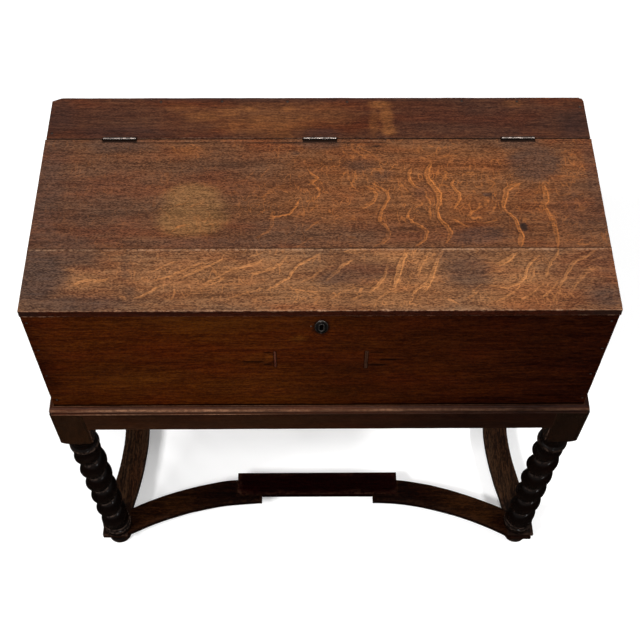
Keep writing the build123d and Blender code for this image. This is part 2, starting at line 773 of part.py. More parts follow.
CLEAT_T = 12.0
batten_screws = []
for key, sx in (("left", -1), ("right", 1)):
    cleat = box(sx * 373.0, sx * 400.0, -176.0, 104.0, LID_BOTTOM - CLEAT_T, LID_BOTTOM)
    cleat = soften(
        cleat,
        [e for e in cleat.edges() if e.center().Z < LID_BOTTOM - CLEAT_T + 0.1],
        1.5,
    )
    for cy in (-150.0, -112.0, -60.0, 10.0, 80.0):
        s, h = screw(sx * 386.5, cy, LID_BOTTOM - CLEAT_T, 22.0, "+z", 3.4, 1.7, 2.2)
        batten_screws.append(s)
        cleat = cleat - h
        lid_front = lid_front - h
        lid_rear = lid_rear - h
    put("lid_cleat_" + key, cleat)
put("cleat_screws", group(batten_screws))
put("lid_board_front", lid_front)
put("lid_board_rear", lid_rear)

# ------------------------------------------------------------------------- export
for name, part in nodes.items():
    export_step(part if isinstance(part, Compound) and len(part.solids()) > 1 else solid_of(part), "parts/" + name + ".step")
print(len(nodes), "nodes")
whole = Compound(children=[solid_of(p) for p in nodes.values()]).bounding_box()
print("size", whole.size, "from", whole.min, "to", whole.max)
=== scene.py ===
import math

import bmesh
import bpy
import numpy as np
from mathutils import Matrix, Vector

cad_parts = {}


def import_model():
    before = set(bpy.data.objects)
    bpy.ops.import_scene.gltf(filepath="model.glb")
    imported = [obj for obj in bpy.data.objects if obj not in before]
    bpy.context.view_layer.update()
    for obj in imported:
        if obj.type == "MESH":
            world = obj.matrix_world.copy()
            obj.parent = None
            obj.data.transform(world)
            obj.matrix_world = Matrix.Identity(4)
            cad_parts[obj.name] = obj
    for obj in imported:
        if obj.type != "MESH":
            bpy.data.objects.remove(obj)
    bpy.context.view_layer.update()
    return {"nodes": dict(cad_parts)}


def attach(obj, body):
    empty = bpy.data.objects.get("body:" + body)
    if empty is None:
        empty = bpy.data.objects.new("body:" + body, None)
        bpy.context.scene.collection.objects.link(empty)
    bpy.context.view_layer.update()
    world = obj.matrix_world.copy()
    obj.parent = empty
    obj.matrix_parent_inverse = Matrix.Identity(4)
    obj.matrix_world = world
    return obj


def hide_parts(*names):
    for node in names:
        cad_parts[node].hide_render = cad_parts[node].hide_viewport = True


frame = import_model()
NODES = frame["nodes"]
MM = 0.001


# ============================================================ camera
def make_camera():
    pitch, yaw, roll = (math.radians(a) for a in (56.705, -1.153, -0.768))
    cp, sp = math.cos(pitch), math.sin(pitch)
    turn = Matrix.Rotation(yaw, 3, "Z")
    ahead = turn @ Vector((0, cp, -sp))
    right = turn @ Vector((1, 0, 0))
    down = turn @ Vector((0, -sp, -cp))
    r = math.cos(roll) * right + math.sin(roll) * down
    d = -math.sin(roll) * right + math.cos(roll) * down
    m = Matrix((r, -d, -ahead)).transposed().to_4x4()
    m.translation = Vector((-0.018802, -1.079837, 2.142975))
    data = bpy.data.cameras.new("camera")
    data.sensor_width = 36
    data.lens = 64.146
    data.clip_start, data.clip_end = 0.05, 200
    cam = bpy.data.objects.new("camera", data)
    bpy.context.scene.collection.objects.link(cam)
    cam.matrix_world = m
    bpy.context.scene.camera = cam


make_camera()


# ============================================================ smooth noise on points
def _hash(ix, iy, iz, seed):
    h = (ix * 374761393 + iy * 668265263 + iz * 1440662683 + seed * 1274126177) & 0xFFFFFFFF
    h = ((h ^ (h >> 13)) * 1274126177) & 0xFFFFFFFF
    h = h ^ (h >> 16)
    return h / 4294967295.0


def wob(p, size, seed=0):
    """Smooth noise from -1 to 1 at points p (mm). size is the feature size along each axis."""
    q = np.asarray(p, float) / np.asarray(size, float)
    f = np.floor(q)
    t = q - f
    t = t * t * t * (t * (t * 6 - 15) + 10)
    i = f.astype(np.int64)
    out = np.zeros(len(q))
    for dx in (0, 1):
        wx = t[:, 0] if dx else 1 - t[:, 0]
        for dy in (0, 1):
            wy = t[:, 1] if dy else 1 - t[:, 1]
            for dz in (0, 1):
                wz = t[:, 2] if dz else 1 - t[:, 2]
                out += wx * wy * wz * _hash(i[:, 0] + dx, i[:, 1] + dy, i[:, 2] + dz, seed)
    return out * 2 - 1


def fbm(p, size, seed=0, octaves=3):
    out, amp, total = 0.0, 1.0, 0.0
    size = np.broadcast_to(np.asarray(size, float), (3,)).copy()
    for k in range(octaves):
        out = out + amp * wob(p, size, seed + 17 * k)
        total += amp
        amp *= 0.5
        size = size / 2
    return out / total


def step01(x, lo, hi):
    t = np.clip((x - lo) / (hi - lo), 0, 1)
    return t * t * (3 - 2 * t)


# ============================================================ mesh building
def make_mesh(name, points, faces, attrs=None, smooth=True, sharp=42.0, merge=0.004):
    """Object from points in mm. Doubled points and faces of no area are cleared away."""
    me = bpy.data.meshes.new(name)
    me.from_pydata([tuple(p) for p in (np.asarray(points) * MM)], [], [tuple(map(int, f)) for f in faces])
    for key, values in (attrs or {}).items():
        a = me.attributes.new(key, "FLOAT", "POINT")
        a.data.foreach_set("value", np.asarray(values, np.float32))
    bm = bmesh.new()
    bm.from_mesh(me)
    bmesh.ops.remove_doubles(bm, verts=bm.verts, dist=merge * MM)
    bmesh.ops.dissolve_degenerate(bm, edges=bm.edges, dist=merge * MM)
    bm.to_mesh(me)
    bm.free()
    me.update()
    if smooth:
        me.shade_smooth()
        me.set_sharp_from_angle(angle=math.radians(sharp))
    ob = bpy.data.objects.new(name, me)
    bpy.context.scene.collection.objects.link(ob)
    return ob


def settle(ob, body, material, nodes=()):
    """Gives a piece its material, its CAD body and the nodes that it stands for."""
    ob.data.materials.clear()
    ob.data.materials.append(material)
    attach(ob, body)
    if nodes:
        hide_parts(*nodes)
    return ob


EDGE = np.array([0, 0.14, 0.32, 0.55, 0.85, 1.25, 1.8, 2.6, 3.6, 4.8])


def lines(lo, hi, step, rim=1.8, extra=()):
    """Cut lines from lo to hi, close together at both rims, with the extra ones kept exactly."""
    e = EDGE[EDGE < min(rim, (hi - lo) / 2.2)]
    n = max(1, int(round((hi - lo - 2 * rim) / step)))
    base = np.concatenate([lo + e, np.linspace(lo + rim, hi - rim, n + 1), hi - e])
    base = np.unique(np.round(base[(base >= lo) & (base <= hi)], 5))
    extra = np.array(sorted(set(round(float(x), 5) for x in extra if lo < x < hi)))
    if len(extra):
        gap = np.abs(base[:, None] - extra[None, :]).min(1)
        keep = (gap > 0.3) | (np.abs(base - lo) < 1e-6) | (np.abs(base - hi) < 1e-6)
        base = np.unique(np.concatenate([base[keep], extra]))
    return base


def around(c, r):
    return [c + k * r for k in (-1, -0.7, -0.42, -0.15, 0.15, 0.42, 0.7, 1)]


def lattice(xs, ys, zs):
    """Surface of a block cut along the given lines."""
    nx, ny, nz = len(xs), len(ys), len(zs)
    mask = np.zeros((nx, ny, nz), bool)
    mask[[0, -1]] = True
    mask[:, [0, -1]] = True
    mask[:, :, [0, -1]] = True
    ids = -np.ones((nx, ny, nz), np.int64)
    ids[mask] = np.arange(mask.sum())
    i, j, k = np.nonzero(mask)
    points = np.stack([xs[i], ys[j], zs[k]], 1)
    quads = []

    def add(grid, flip):
        a, b, c, d = grid[:-1, :-1], grid[1:, :-1], grid[1:, 1:], grid[:-1, 1:]
        q = np.stack([a, b, c, d] if not flip else [a, d, c, b], -1).reshape(-1, 4)
        quads.append(q)

    add(ids[:, :, -1], False)
    add(ids[:, :, 0], True)
    add(ids[-1, :, :], False)
    add(ids[0, :, :], True)
    add(ids[:, -1, :], True)
    add(ids[:, 0, :], False)
    return points, np.concatenate(quads)


def round_box(p, lo, hi, r):
    """Rounds the arrises of a block to the radius r, which may differ from point to point."""
    lo, hi = np.array(lo, float), np.array(hi, float)
    r = np.minimum(r, (hi - lo).min() / 2.05)[:, None]
    q = np.clip(p, lo + r, hi - r)
    d = p - q
    n = np.linalg.norm(d, axis=1, keepdims=True)
    m = np.abs(d).max(1, keepdims=True)
    # only points that lie in the shell of thickness r next to two or more faces move
    pull = np.where(n > 1e-9, d / np.maximum(n, 1e-9) * m, 0)
    return q + pull


def edge_distance(p, lo, hi):
    d = np.minimum(p - np.array(lo, float), np.array(hi, float) - p)
    return np.sort(d, axis=1)[:, 1]


def board(
    name, node, body, material, lo, hi, step, rim=(1.8, 1.8, 1.8), radius=0.9, vary=0.5,
    seed=1, extra=((), (), ()), carve=None, wear=None, swell=(0, 0, 0.08), paint=None,
    raw=None, after=None, nodes=None,
):
    """A plank with worn, uneven arrises. Sizes in mm. raw(p) says where the wood is unpolished."""
    xs, ys, zs = (
        lines(lo[i], hi[i], step[i], rim[i], extra[i]) for i in range(3)
    )
    p0, quads = lattice(xs, ys, zs)
    p = p0.copy()
    if carve:
        p = carve(p0, p)
    r = radius * (1 + vary * fbm(p0, 34, seed) * 1.6)
    if wear:
        r = wear(p0, r)
    r = np.clip(r, 0.12, max(rim))
    p = round_box(p, lo, hi, r)
    on_low = np.abs(p0 - np.array(lo)) < 1e-6
    on_high = np.abs(p0 - np.array(hi)) < 1e-6
    out = on_high.astype(float) - on_low.astype(float)
    roll = fbm(p0, (170, 60, 60), seed + 5, 2) + 0.35 * fbm(p0, (60, 14, 14), seed + 9, 2)
    p = p + out * np.array(swell) * roll[:, None]
    e = edge_distance(p0, lo, hi)
    rub = np.exp(-((e / (0.5 * r + 0.28)) ** 2)) * np.clip(0.62 + 0.55 * fbm(p0, 22, seed + 3), 0, 1)
    attrs = {"wear": rub}
    attrs["raw"] = raw(p0) if raw else np.zeros(len(p0))
    for key in ("gold", "dull", "ink"):
        attrs[key] = np.zeros(len(p0))
    if paint:
        attrs.update(paint(p0))
    attrs["wear"] = np.maximum(attrs["wear"] * attrs.pop("spared", 1.0), attrs.pop("rubbed", 0.0))
    if after:
        p = after(p0, p)
    ob = make_mesh(name, p, quads, attrs)
    return settle(ob, body, material, nodes or (node,))


# ============================================================ node helper
class Graph:
    def __init__(self, name):
        self.mat = bpy.data.materials.new(name)
        self.mat.use_nodes = True
        self.tree = self.mat.node_tree
        self.tree.nodes.clear()
        self.out = self.add("ShaderNodeOutputMaterial")
        self.bsdf = self.add("ShaderNodeBsdfPrincipled")
        self.tree.links.new(self.bsdf.outputs[0], self.out.inputs[0])
        self.co = self.add("ShaderNodeTexCoord").outputs["Object"]

    def add(self, kind, **props):
        node = self.tree.nodes.new(kind)
        for k, v in props.items():
            setattr(node, k, v)
        return node

    def put(self, socket, value):
        if isinstance(value, bpy.types.NodeSocket):
            self.tree.links.new(value, socket)
        elif isinstance(value, (tuple, list)) and len(value) == 3 and socket.type == "RGBA":
            socket.default_value = (*value, 1.0)
        else:
            socket.default_value = value

    def math(self, op, a, b=0.0, c=0.0, clamp=False):
        n = self.add("ShaderNodeMath", operation=op, use_clamp=clamp)
        for s, v in zip(n.inputs, (a, b, c)):
            self.put(s, v)
        return n.outputs[0]

    def mul(self, a, b):
        return self.math("MULTIPLY", a, b)

    def plus(self, a, b):
        return self.math("ADD", a, b)

    def mix(self, fac, a, b, kind="MIX"):
        n = self.add("ShaderNodeMix", data_type="RGBA", blend_type=kind, clamp_factor=True)
        self.put(n.inputs[0], fac)
        self.put(n.inputs[6], a)
        self.put(n.inputs[7], b)
        return n.outputs[2]

    def stretch(self, vec, scale, shift=(0, 0, 0)):
        n = self.add("ShaderNodeMapping")
        self.put(n.inputs["Vector"], vec)
        n.inputs["Location"].default_value = shift
        n.inputs["Scale"].default_value = scale
        return n.outputs[0]

    def noise(self, vec, scale=1.0, detail=2.0, rough=0.5, distort=0.0):
        n = self.add("ShaderNodeTexNoise", noise_dimensions="3D")
        self.put(n.inputs["Vector"], vec)
        n.inputs["Scale"].default_value = scale
        n.inputs["Detail"].default_value = detail
        n.inputs["Roughness"].default_value = rough
        n.inputs["Distortion"].default_value = distort
        return n.outputs["Fac"]

    def remap(self, v, a, b, c=0.0, d=1.0, kind="SMOOTHSTEP"):
        n = self.add("ShaderNodeMapRange", interpolation_type=kind)
        self.put(n.inputs["Value"], v)
        n.inputs["From Min"].default_value = a
        n.inputs["From Max"].default_value = b
        n.inputs["To Min"].default_value = c
        n.inputs["To Max"].default_value = d
        return n.outputs["Result"]

    def ramp(self, fac, stops, kind="LINEAR"):
        n = self.add("ShaderNodeValToRGB")
        n.color_ramp.interpolation = kind
        els = n.color_ramp.elements
        while len(els) > 1:
            els.remove(els[-1])
        els[0].position, els[0].color = stops[0][0], (*stops[0][1], 1)
        for pos, col in stops[1:]:
            e = els.new(pos)
            e.color = (*col, 1)
        self.put(n.inputs[0], fac)
        return n.outputs["Color"]

    def attr(self, name):
        n = self.add("ShaderNodeAttribute", attribute_type="GEOMETRY", attribute_name=name)
        return n.outputs["Fac"]

    def bump(self, height, strength, distance, normal=None):
        n = self.add("ShaderNodeBump")
        n.inputs["Strength"].default_value = strength
        n.inputs["Distance"].default_value = distance
        self.put(n.inputs["Height"], height)
        if normal is not None:
            self.put(n.inputs["Normal"], normal)
        return n.outputs[0]


def along(g, grain, shift):
    """Coordinates in metres whose first axis runs along the grain."""
    s = g.add("ShaderNodeSeparateXYZ")
    g.put(s.inputs[0], g.co)
    order = {"x": (0, 1, 2), "y": (1, 0, 2), "z": (2, 0, 1)}[grain]
    c = g.add("ShaderNodeCombineXYZ")
    for i, k in enumerate(order):
        g.put(c.inputs[i], g.plus(s.outputs[k], shift[i]))
    return c.outputs[0]


def oak(
    name, grain, dark, mid, light, shift, rough=0.42, gloss=0.5, contrast=1.0, gold=(0.42, 0.2, 0.07),
    line=(0.50, 0.20, 0.06), dull=(0.10, 0.066, 0.046), rub=(0.3, 0.17, 0.09), dry=(0.150, 0.089, 0.048),
    ink=(0.010, 0.005, 0.0035), side=None, patina=(0.75, 0.66, 0.62), micro=0.0, bump=0.35, bands=55.0,
    streak=1.0, speck=1.0, mottle=1.0, wave=1.0, stain=None, even=0.0,
):
    """Old oak. dark, mid and light are the colours of the grain, which runs along x, y or z. side is the colour of edges."""
    g = Graph(name)
    v = along(g, grain, shift)
    w1 = g.noise(g.stretch(v, (2.2, 9, 9)), 1.0, 2, 0.5)
    w2 = g.noise(g.stretch(v, (11, 30, 30)), 1.0, 1, 0.5)
    push = g.plus(g.mul(g.plus(w1, -0.5), 0.022 * wave), g.mul(g.plus(w2, -0.5), 0.006 * wave))
    c = g.add("ShaderNodeCombineXYZ")
    g.put(c.inputs[1], push)
    g.put(c.inputs[2], push)
    va = g.add("ShaderNodeVectorMath", operation="ADD")
    g.put(va.inputs[0], v)
    g.put(va.inputs[1], c.outputs[0])
    v = va.outputs[0]
    ring = g.noise(g.stretch(v, (1.3, bands, bands)), 1.0, 4, 0.62)
    streaks = g.noise(g.stretch(v, (13, 270, 270)), 1.0, 2, 0.55)
    dashes = g.noise(g.stretch(v, (85, 640, 640)), 1.0, 2, 0.6)
    grit = g.noise(g.stretch(v, (270, 900, 900)), 1.0, 1, 0.5)
    fine = g.noise(g.stretch(v, (60, 2300, 2300)), 1.0, 1, 0.5)
    pores = g.remap(g.noise(g.stretch(v, (48, 900, 900), (3, 1, 7)), 1.0, 1, 0.5), 0.60, 0.71)
    tone = 0.5
    for n, amp in ((ring, 0.50), (streaks, 0.75 * streak), (dashes, 1.05 * streak), (grit, 1.0 * speck), (fine, 0.35 * speck)):
        tone = g.plus(g.mul(g.plus(n, -0.5), amp * contrast), tone)
    colour = g.ramp(tone, [(0.20, dark), (0.5, mid), (0.80, light)])
    tints = g.noise(g.stretch(v, (8, 23, 23), (2, 5, 3)), 1.0, 3, 0.6)
    colour = g.mix(
        mottle, colour, g.ramp(tints, [(0.34, (1.15, 0.92, 0.80)), (0.5, (1.0, 1.0, 1.0)), (0.66, (0.90, 1.03, 1.16))]), "MULTIPLY",
    )
    colour = g.mix(g.mul(pores, 0.5), colour, tuple(0.45 * x for x in dark))
    cloud = g.noise(g.stretch(v, (5.5, 13, 13), (5, 2, 1)), 1.0, 3, 0.55)
    colour = g.mix(g.remap(cloud, 0.42, 0.66, 0, 0.7), colour, patina, "MULTIPLY")
    grain_shade = g.ramp(tone, [(0.2, (0.52,) * 3), (0.5, (0.92,) * 3), (0.8, (1.45,) * 3)])
    tint = lambda rgb: g.mix(1.0, rgb, grain_shade, "MULTIPLY")
    plain_shade = g.ramp(g.plus(g.mul(ring, 0.6), g.mul(tone, 0.4)), [(0.25, (0.72,) * 3), (0.5, (0.98,) * 3), (0.75, (1.22,) * 3)])
    # The dull and ink marks darken both real marks and painted shade; the wear mark lays the rub colour on both real
    # wear and painted highlights.
    a_gold, a_dull_and_shade, a_ink_and_shadow, a_rub_and_highlight, a_raw = (g.attr(k) for k in ("gold", "dull", "ink", "wear", "raw"))
    ragged = g.noise(g.stretch(v, (45, 210, 210), (2, 2, 9)), 1.0, 2, 0.6)
    if gold:
        colour = g.mix(g.mul(a_gold, g.remap(ragged, 0.25, 0.7, 0.55, 1.0)), colour, tint(gold))
    if stain:
        colour = g.mix(g.mul(g.attr("stain"), g.remap(ragged, 0.25, 0.7, 0.7, 1.0)), colour, tint(stain))
    if micro > 0:
        # small wavy rays that cross the grain, where the polish is worn to gold
        m1 = g.noise(g.stretch(v, (62, 30, 30), (1, 1, 1)), 1.0, 1, 0.5, 0.9)
        m2 = g.noise(g.stretch(v, (14, 30, 30), (4, 9, 1)), 1.0, 2, 0.5)
        vein = g.remap(g.math("ABSOLUTE", g.plus(m1, -0.5)), 0.004, 0.026, 1.0, 0.0)
        m3 = g.noise(g.stretch(v, (95, 52, 52), (7, 3, 5)), 1.0, 1, 0.5, 0.7)
        vein2 = g.remap(g.math("ABSOLUTE", g.plus(m3, -0.52)), 0.004, 0.030, 1.0, 0.0)
        veins = g.plus(g.mul(vein, g.remap(m2, 0.45, 0.62)), g.mul(vein2, g.remap(m2, 0.52, 0.38)))
        colour = g.mix(g.mul(veins, g.mul(g.plus(a_gold, 0.16), micro)), colour, line)
    if line:
        # the long ray flecks: a soft golden body with a broken rim of lighter colour, brighter on one side as a painted
        # highlight, and a painted shade line just outside the other side
        n1 = g.noise(g.stretch(g.co, (120, 120, 120), (1, 4, 2)), 1.0, 1, 0.5)
        n2 = g.noise(g.stretch(g.co, (430, 430, 430), (6, 4, 1)), 1.0, 1, 0.5)
        u = g.plus(g.plus(g.attr("fa"), g.mul(g.plus(n1, -0.5), 5.0)), g.mul(g.plus(n2, -0.5), 1.8))
        d = g.math("ABSOLUTE", u)
        fw, fs = g.attr("fw"), g.attr("fs")
        body = g.remap(g.math("SUBTRACT", d, fw), -1.2, 1.2, 1.0, 0.0)
        crest = g.remap(g.math("ABSOLUTE", g.math("SUBTRACT", u, g.mul(fw, 0.55))), 0.2, 1.5, 1.0, 0.0)
        far = g.remap(g.math("ABSOLUTE", g.plus(u, g.mul(fw, 0.8))), 0.3, 1.3, 0.35, 0.0)
        rim = g.math("MAXIMUM", crest, far)
        shade = g.remap(g.math("ABSOLUTE", g.plus(u, g.plus(fw, 2.0))), 0.4, 2.2, 1.0, 0.0)
        rag = g.remap(g.noise(g.stretch(v, (70, 320, 320), (8, 3, 2)), 1.0, 2, 0.6), 0.30, 0.62, 0.15, 1.0)
        colour = g.mix(g.mul(g.mul(fs, shade), 0.5), colour, tuple(0.75 * x for x in dark))
        colour = g.mix(g.mul(g.mul(fs, body), g.remap(rag, 0.15, 1.0, 0.38, 0.72)), colour, tint(gold))
        colour = g.mix(g.mul(g.mul(fs, rim), g.mul(rag, 0.85)), colour, line)
    colour = g.mix(g.mul(a_dull_and_shade, g.remap(ragged, 0.2, 0.75, 1.0, 0.7)), colour, tint(dull))
    colour = g.mix(a_raw, colour, g.mix(1.0, dry, plain_shade, "MULTIPLY"))
    if side:
        sep = g.add("ShaderNodeSeparateXYZ")
        g.put(sep.inputs[0], g.add("ShaderNodeTexCoord").outputs["Normal"])
        flank = g.remap(g.math("ABSOLUTE", sep.outputs[2]), 0.50, 0.86, 1.0, 0.0)
        colour = g.mix(g.mul(flank, g.math("SUBTRACT", 1.0, a_raw)), colour, tint(side))
    spread = g.noise(g.stretch(g.co, (170, 170, 170)), 1.0, 2, 0.65)
    colour = g.mix(g.mul(a_rub_and_highlight, g.remap(spread, 0.38, 0.62, 0.05 + 0.5 * even, 0.8)), colour, rub)
    colour = g.mix(a_ink_and_shadow, colour, ink)
    g.put(g.bsdf.inputs["Base Color"], colour)
    smear = g.noise(g.stretch(g.co, (14, 20, 20)), 1.0, 3, 0.6)
    rough_v = g.plus(g.remap(smear, 0.3, 0.7, rough - 0.07, rough + 0.09, "LINEAR"), g.mul(pores, 0.12))
    rough_v = g.plus(rough_v, g.plus(g.mul(a_raw, 0.3), g.mul(a_dull_and_shade, 0.05)))
    g.put(g.bsdf.inputs["Roughness"], rough_v)
    g.bsdf.inputs["Specular IOR Level"].default_value = gloss
    height = g.plus(g.plus(g.mul(dashes, 0.8), g.mul(fine, 0.35)), g.mul(pores, -1.1))
    g.put(g.bsdf.inputs["Normal"], g.bump(height, bump, 0.00035))
    return g.mat


def metal(name, base, shine, rust, rough=0.42, worn=0.8, metallic=1.0, top=0.0, above=0.0):
    """Old steel or iron: dark and pitted, worn bright on its edges and, by top, given a painted highlight where it
    faces up and a little forward.
    """
    g = Graph(name)
    pits = g.noise(g.stretch(g.co, (900, 900, 900)), 1.0, 3, 0.65)
    patch = g.noise(g.stretch(g.co, (160, 160, 160), (2, 1, 5)), 1.0, 3, 0.6)
    grit = g.noise(g.stretch(g.co, (380, 2600, 2600), (4, 4, 1)), 1.0, 1, 0.5)
    colour = g.ramp(pits, [(0.3, tuple(0.55 * x for x in base)), (0.55, base), (0.75, tuple(min(1, 1.35 * x) for x in base))])
    colour = g.mix(g.remap(patch, 0.5, 0.66, 0, 0.75), colour, rust)
    edge = g.add("ShaderNodeNewGeometry").outputs["Pointiness"]
    bright = g.mul(g.remap(edge, 0.5, 0.56), g.remap(patch, 0.3, 0.6, 1.0, 0.35))
    colour = g.mix(g.mul(bright, worn), colour, shine)
    if top:
        sep = g.add("ShaderNodeSeparateXYZ")
        g.put(sep.inputs[0], g.add("ShaderNodeTexCoord").outputs["Normal"])
        # painted highlight where the face looks up and a little forward, kept to points higher than above
        tilt = g.plus(g.mul(sep.outputs[2], 0.94), g.mul(sep.outputs[1], -0.34))
        crown_highlight = g.mul(g.remap(tilt, 0.93, 0.985), g.remap(patch, 0.38, 0.60, 1.0, 0.30))
        place = g.add("ShaderNodeSeparateXYZ")
        g.put(place.inputs[0], g.co)
        crown_highlight = g.mul(crown_highlight, g.remap(place.outputs[2], above - 0.0003, above))
        colour = g.mix(g.mul(crown_highlight, top), colour, shine)
        metallic_v = g.mul(g.remap(patch, 0.5, 0.7, metallic, metallic * 0.35), g.remap(crown_highlight, 0, 1, 1.0, 0.25, "LINEAR"))
    else:
        metallic_v = g.remap(patch, 0.5, 0.7, metallic, metallic * 0.35)
    g.put(g.bsdf.inputs["Base Color"], colour)
    g.put(g.bsdf.inputs["Metallic"], metallic_v)
    g.put(g.bsdf.inputs["Roughness"], g.plus(g.remap(pits, 0.3, 0.7, rough - 0.12, rough + 0.16, "LINEAR"), g.mul(bright, -0.12)))
    g.put(g.bsdf.inputs["Normal"], g.bump(g.plus(g.mul(pits, 0.7), g.mul(grit, 0.3)), 0.5, 0.00025))
    return g.mat


# ============================================================ materials
EDGE_RED = (0.0185, 0.0028, 0.0004)
TOP = oak(
    "oak_lid", "x", (0.0450, 0.0160, 0.0074), (0.090, 0.0340, 0.0150), (0.160, 0.0650, 0.0280), (0.0, 0.0, 0.3),
    rough=0.42, gloss=0.07, gold=(0.222, 0.077, 0.0215), line=(0.46, 0.150, 0.037), dull=(0.0510, 0.0285, 0.0210),
    rub=(0.30, 0.155, 0.085), micro=0.75, bump=0.4, side=EDGE_RED, contrast=1.3, stain=(0.172, 0.084, 0.0310), speck=1.5, streak=0.85,
)
TOP_FRONT = oak(
    "oak_lid_front", "x", (0.0560, 0.0220, 0.0112), (0.112, 0.0480, 0.0225), (0.192, 0.0880, 0.0400), (1.9, 0.7, 0.1),
    rough=0.47, gloss=0.045, gold=(0.275, 0.1160, 0.0420), line=(0.48, 0.190, 0.062), dull=(0.0440, 0.0262, 0.0205),
    rub=(0.36, 0.20, 0.115), micro=0.8, bump=0.45, side=EDGE_RED, speck=1.7, contrast=1.3, streak=0.9,
)
FIXED = oak(
    "oak_fixed_top", "x", (0.0290, 0.0090, 0.0050), (0.0580, 0.0190, 0.0092), (0.103, 0.0370, 0.0160), (3.1, 1.3, 0.4),
    rough=0.40, gloss=0.08, gold=(0.190, 0.0680, 0.0195), line=(0.28, 0.095, 0.026), dull=(0.0290, 0.0130, 0.0100),
    rub=(0.22, 0.12, 0.075), micro=0.25, bump=0.35, side=EDGE_RED, contrast=1.1,
)
FRONT = oak(
    "oak_front", "x", (0.0176, 0.0026, 0.0001), (0.0322, 0.0055, 0.0001), (0.0560, 0.0120, 0.0006), (5.2, 2.3, 0.9),
    rough=0.42, gloss=0.010, gold=(0.085, 0.0270, 0.0020), line=None, dull=(0.0050, 0.0006, 0.0002),
    rub=(0.10, 0.040, 0.017), ink=(0.0022, 0.0008, 0.0004), patina=(0.72, 0.64, 0.7), bump=0.45, streak=1.25, speck=1.1,
    contrast=1.15, mottle=0.7, bands=75.0,
)
SIDE = oak(
    "oak_ends", "y", (0.0195, 0.0036, 0.0005), (0.0350, 0.0070, 0.0009), (0.058, 0.0140, 0.0024), (2.2, 4.3, 0.2),
    rough=0.42, gloss=0.06, gold=None, line=None, dull=(0.0085, 0.0022, 0.0007), rub=(0.12, 0.050, 0.022),
    patina=(0.72, 0.62, 0.7), bump=0.4, streak=1.2, speck=1.0, contrast=1.1, bands=75.0,
)
STAND = oak(
    "oak_stand", "x", (0.0098, 0.0026, 0.0007), (0.0180, 0.0053, 0.0015), (0.032, 0.0110, 0.0036), (7.1, 0.4, 2.2),
    rough=0.42, gloss=0.04, gold=(0.0190, 0.0070, 0.0026), line=None, rub=(0.11, 0.060, 0.034), patina=(0.75, 0.7, 0.75),
    bump=0.3, dull=(0.0045, 0.0011, 0.0006), contrast=0.8, streak=0.8,
)
STAND_Y = oak(
    "oak_stand_sides", "y", (0.0098, 0.0026, 0.0007), (0.0180, 0.0053, 0.0015), (0.032, 0.0110, 0.0036), (1.1, 3.4, 5.2),
    rough=0.42, gloss=0.04, gold=(0.0190, 0.0070, 0.0026), line=None, rub=(0.11, 0.060, 0.034), patina=(0.75, 0.7, 0.75),
    bump=0.3, dull=(0.0045, 0.0011, 0.0006), contrast=0.8, streak=0.8,
)
# The rub colour of the lip, here and on its sides, paints both its wear and its painted highlights.
LIP = oak(
    "oak_lip", "x", (0.0210, 0.0066, 0.0030), (0.039, 0.0130, 0.0058), (0.064, 0.0240, 0.0115), (4.4, 6.1, 0.7),
    rough=0.34, gloss=0.060, gold=None, line=None, rub=(0.335, 0.168, 0.092), patina=(0.6, 0.5, 0.5), bump=0.2,
    dull=(0.0045, 0.0007, 0.0003), streak=0.6, contrast=0.7, even=0.6,
)
LIP_Y = oak(
    "oak_lip_sides", "y", (0.0210, 0.0066, 0.0030), (0.039, 0.0130, 0.0058), (0.064, 0.0240, 0.0115), (1.4, 2.1, 6.7),
    rough=0.34, gloss=0.060, gold=None, line=None, rub=(0.335, 0.168, 0.092), patina=(0.6, 0.5, 0.5), bump=0.2,
    dull=(0.0045, 0.0007, 0.0003), streak=0.6, contrast=0.7, even=0.6,
)
# The rub colour of the turned legs paints both their worn edges and the painted highlight lines on the turnings.
LEG = oak(
    "oak_turned", "z", (0.0011, 0.0006, 0.0004), (0.0019, 0.0009, 0.0006), (0.0036, 0.0017, 0.0011), (6.6, 0.2, 3.3),
    rough=0.11, gloss=0.16, gold=(0.0155, 0.0060, 0.0022), line=None, rub=(0.105, 0.066, 0.049), patina=(0.75, 0.62, 0.6),
    bump=0.08, dull=(0.0012, 0.0006, 0.0005), contrast=0.6,
)
ARC = oak(
    "oak_stretcher_front", "x", (0.0022, 0.0004, 0.0001), (0.0062, 0.0016, 0.0004), (0.019, 0.0062, 0.0020), (9.2, 1.1, 2.7),
    rough=0.40, gloss=0.020, gold=(0.0275, 0.0090, 0.0022), line=None, rub=(0.022, 0.0085, 0.0040), patina=(0.7, 0.55, 0.55), bump=0.4,
    dull=(0.0014, 0.0002, 0.0002), contrast=1.45, streak=1.3, bands=70.0,
)
CENTRE = oak(
    "oak_stretcher_middle", "x", (0.0014, 0.00006, 0.0001), (0.0030, 0.0002, 0.0002), (0.0066, 0.0008, 0.0006), (1.2, 9.1, 3.7),
    rough=0.45, gloss=0.008, gold=None, line=None, rub=(0.030, 0.012, 0.007), patina=(0.7, 0.55, 0.7), bump=0.35, dull=(0.0015, 0.0003, 0.0004),
)
ARC_SIDE = oak(
    "oak_stretcher_side", "y", (0.0046, 0.0017, 0.0007), (0.0112, 0.0045, 0.0018), (0.028, 0.0125, 0.0056), (2.9, 5.1, 8.7),
    rough=0.42, gloss=0.036, gold=(0.04, 0.020, 0.008), line=None, rub=(0.054, 0.027, 0.016), patina=(0.7, 0.58, 0.6), bump=0.45,
    bands=85.0, dull=(0.0030, 0.0017, 0.0016), contrast=1.5, streak=2.0,
)
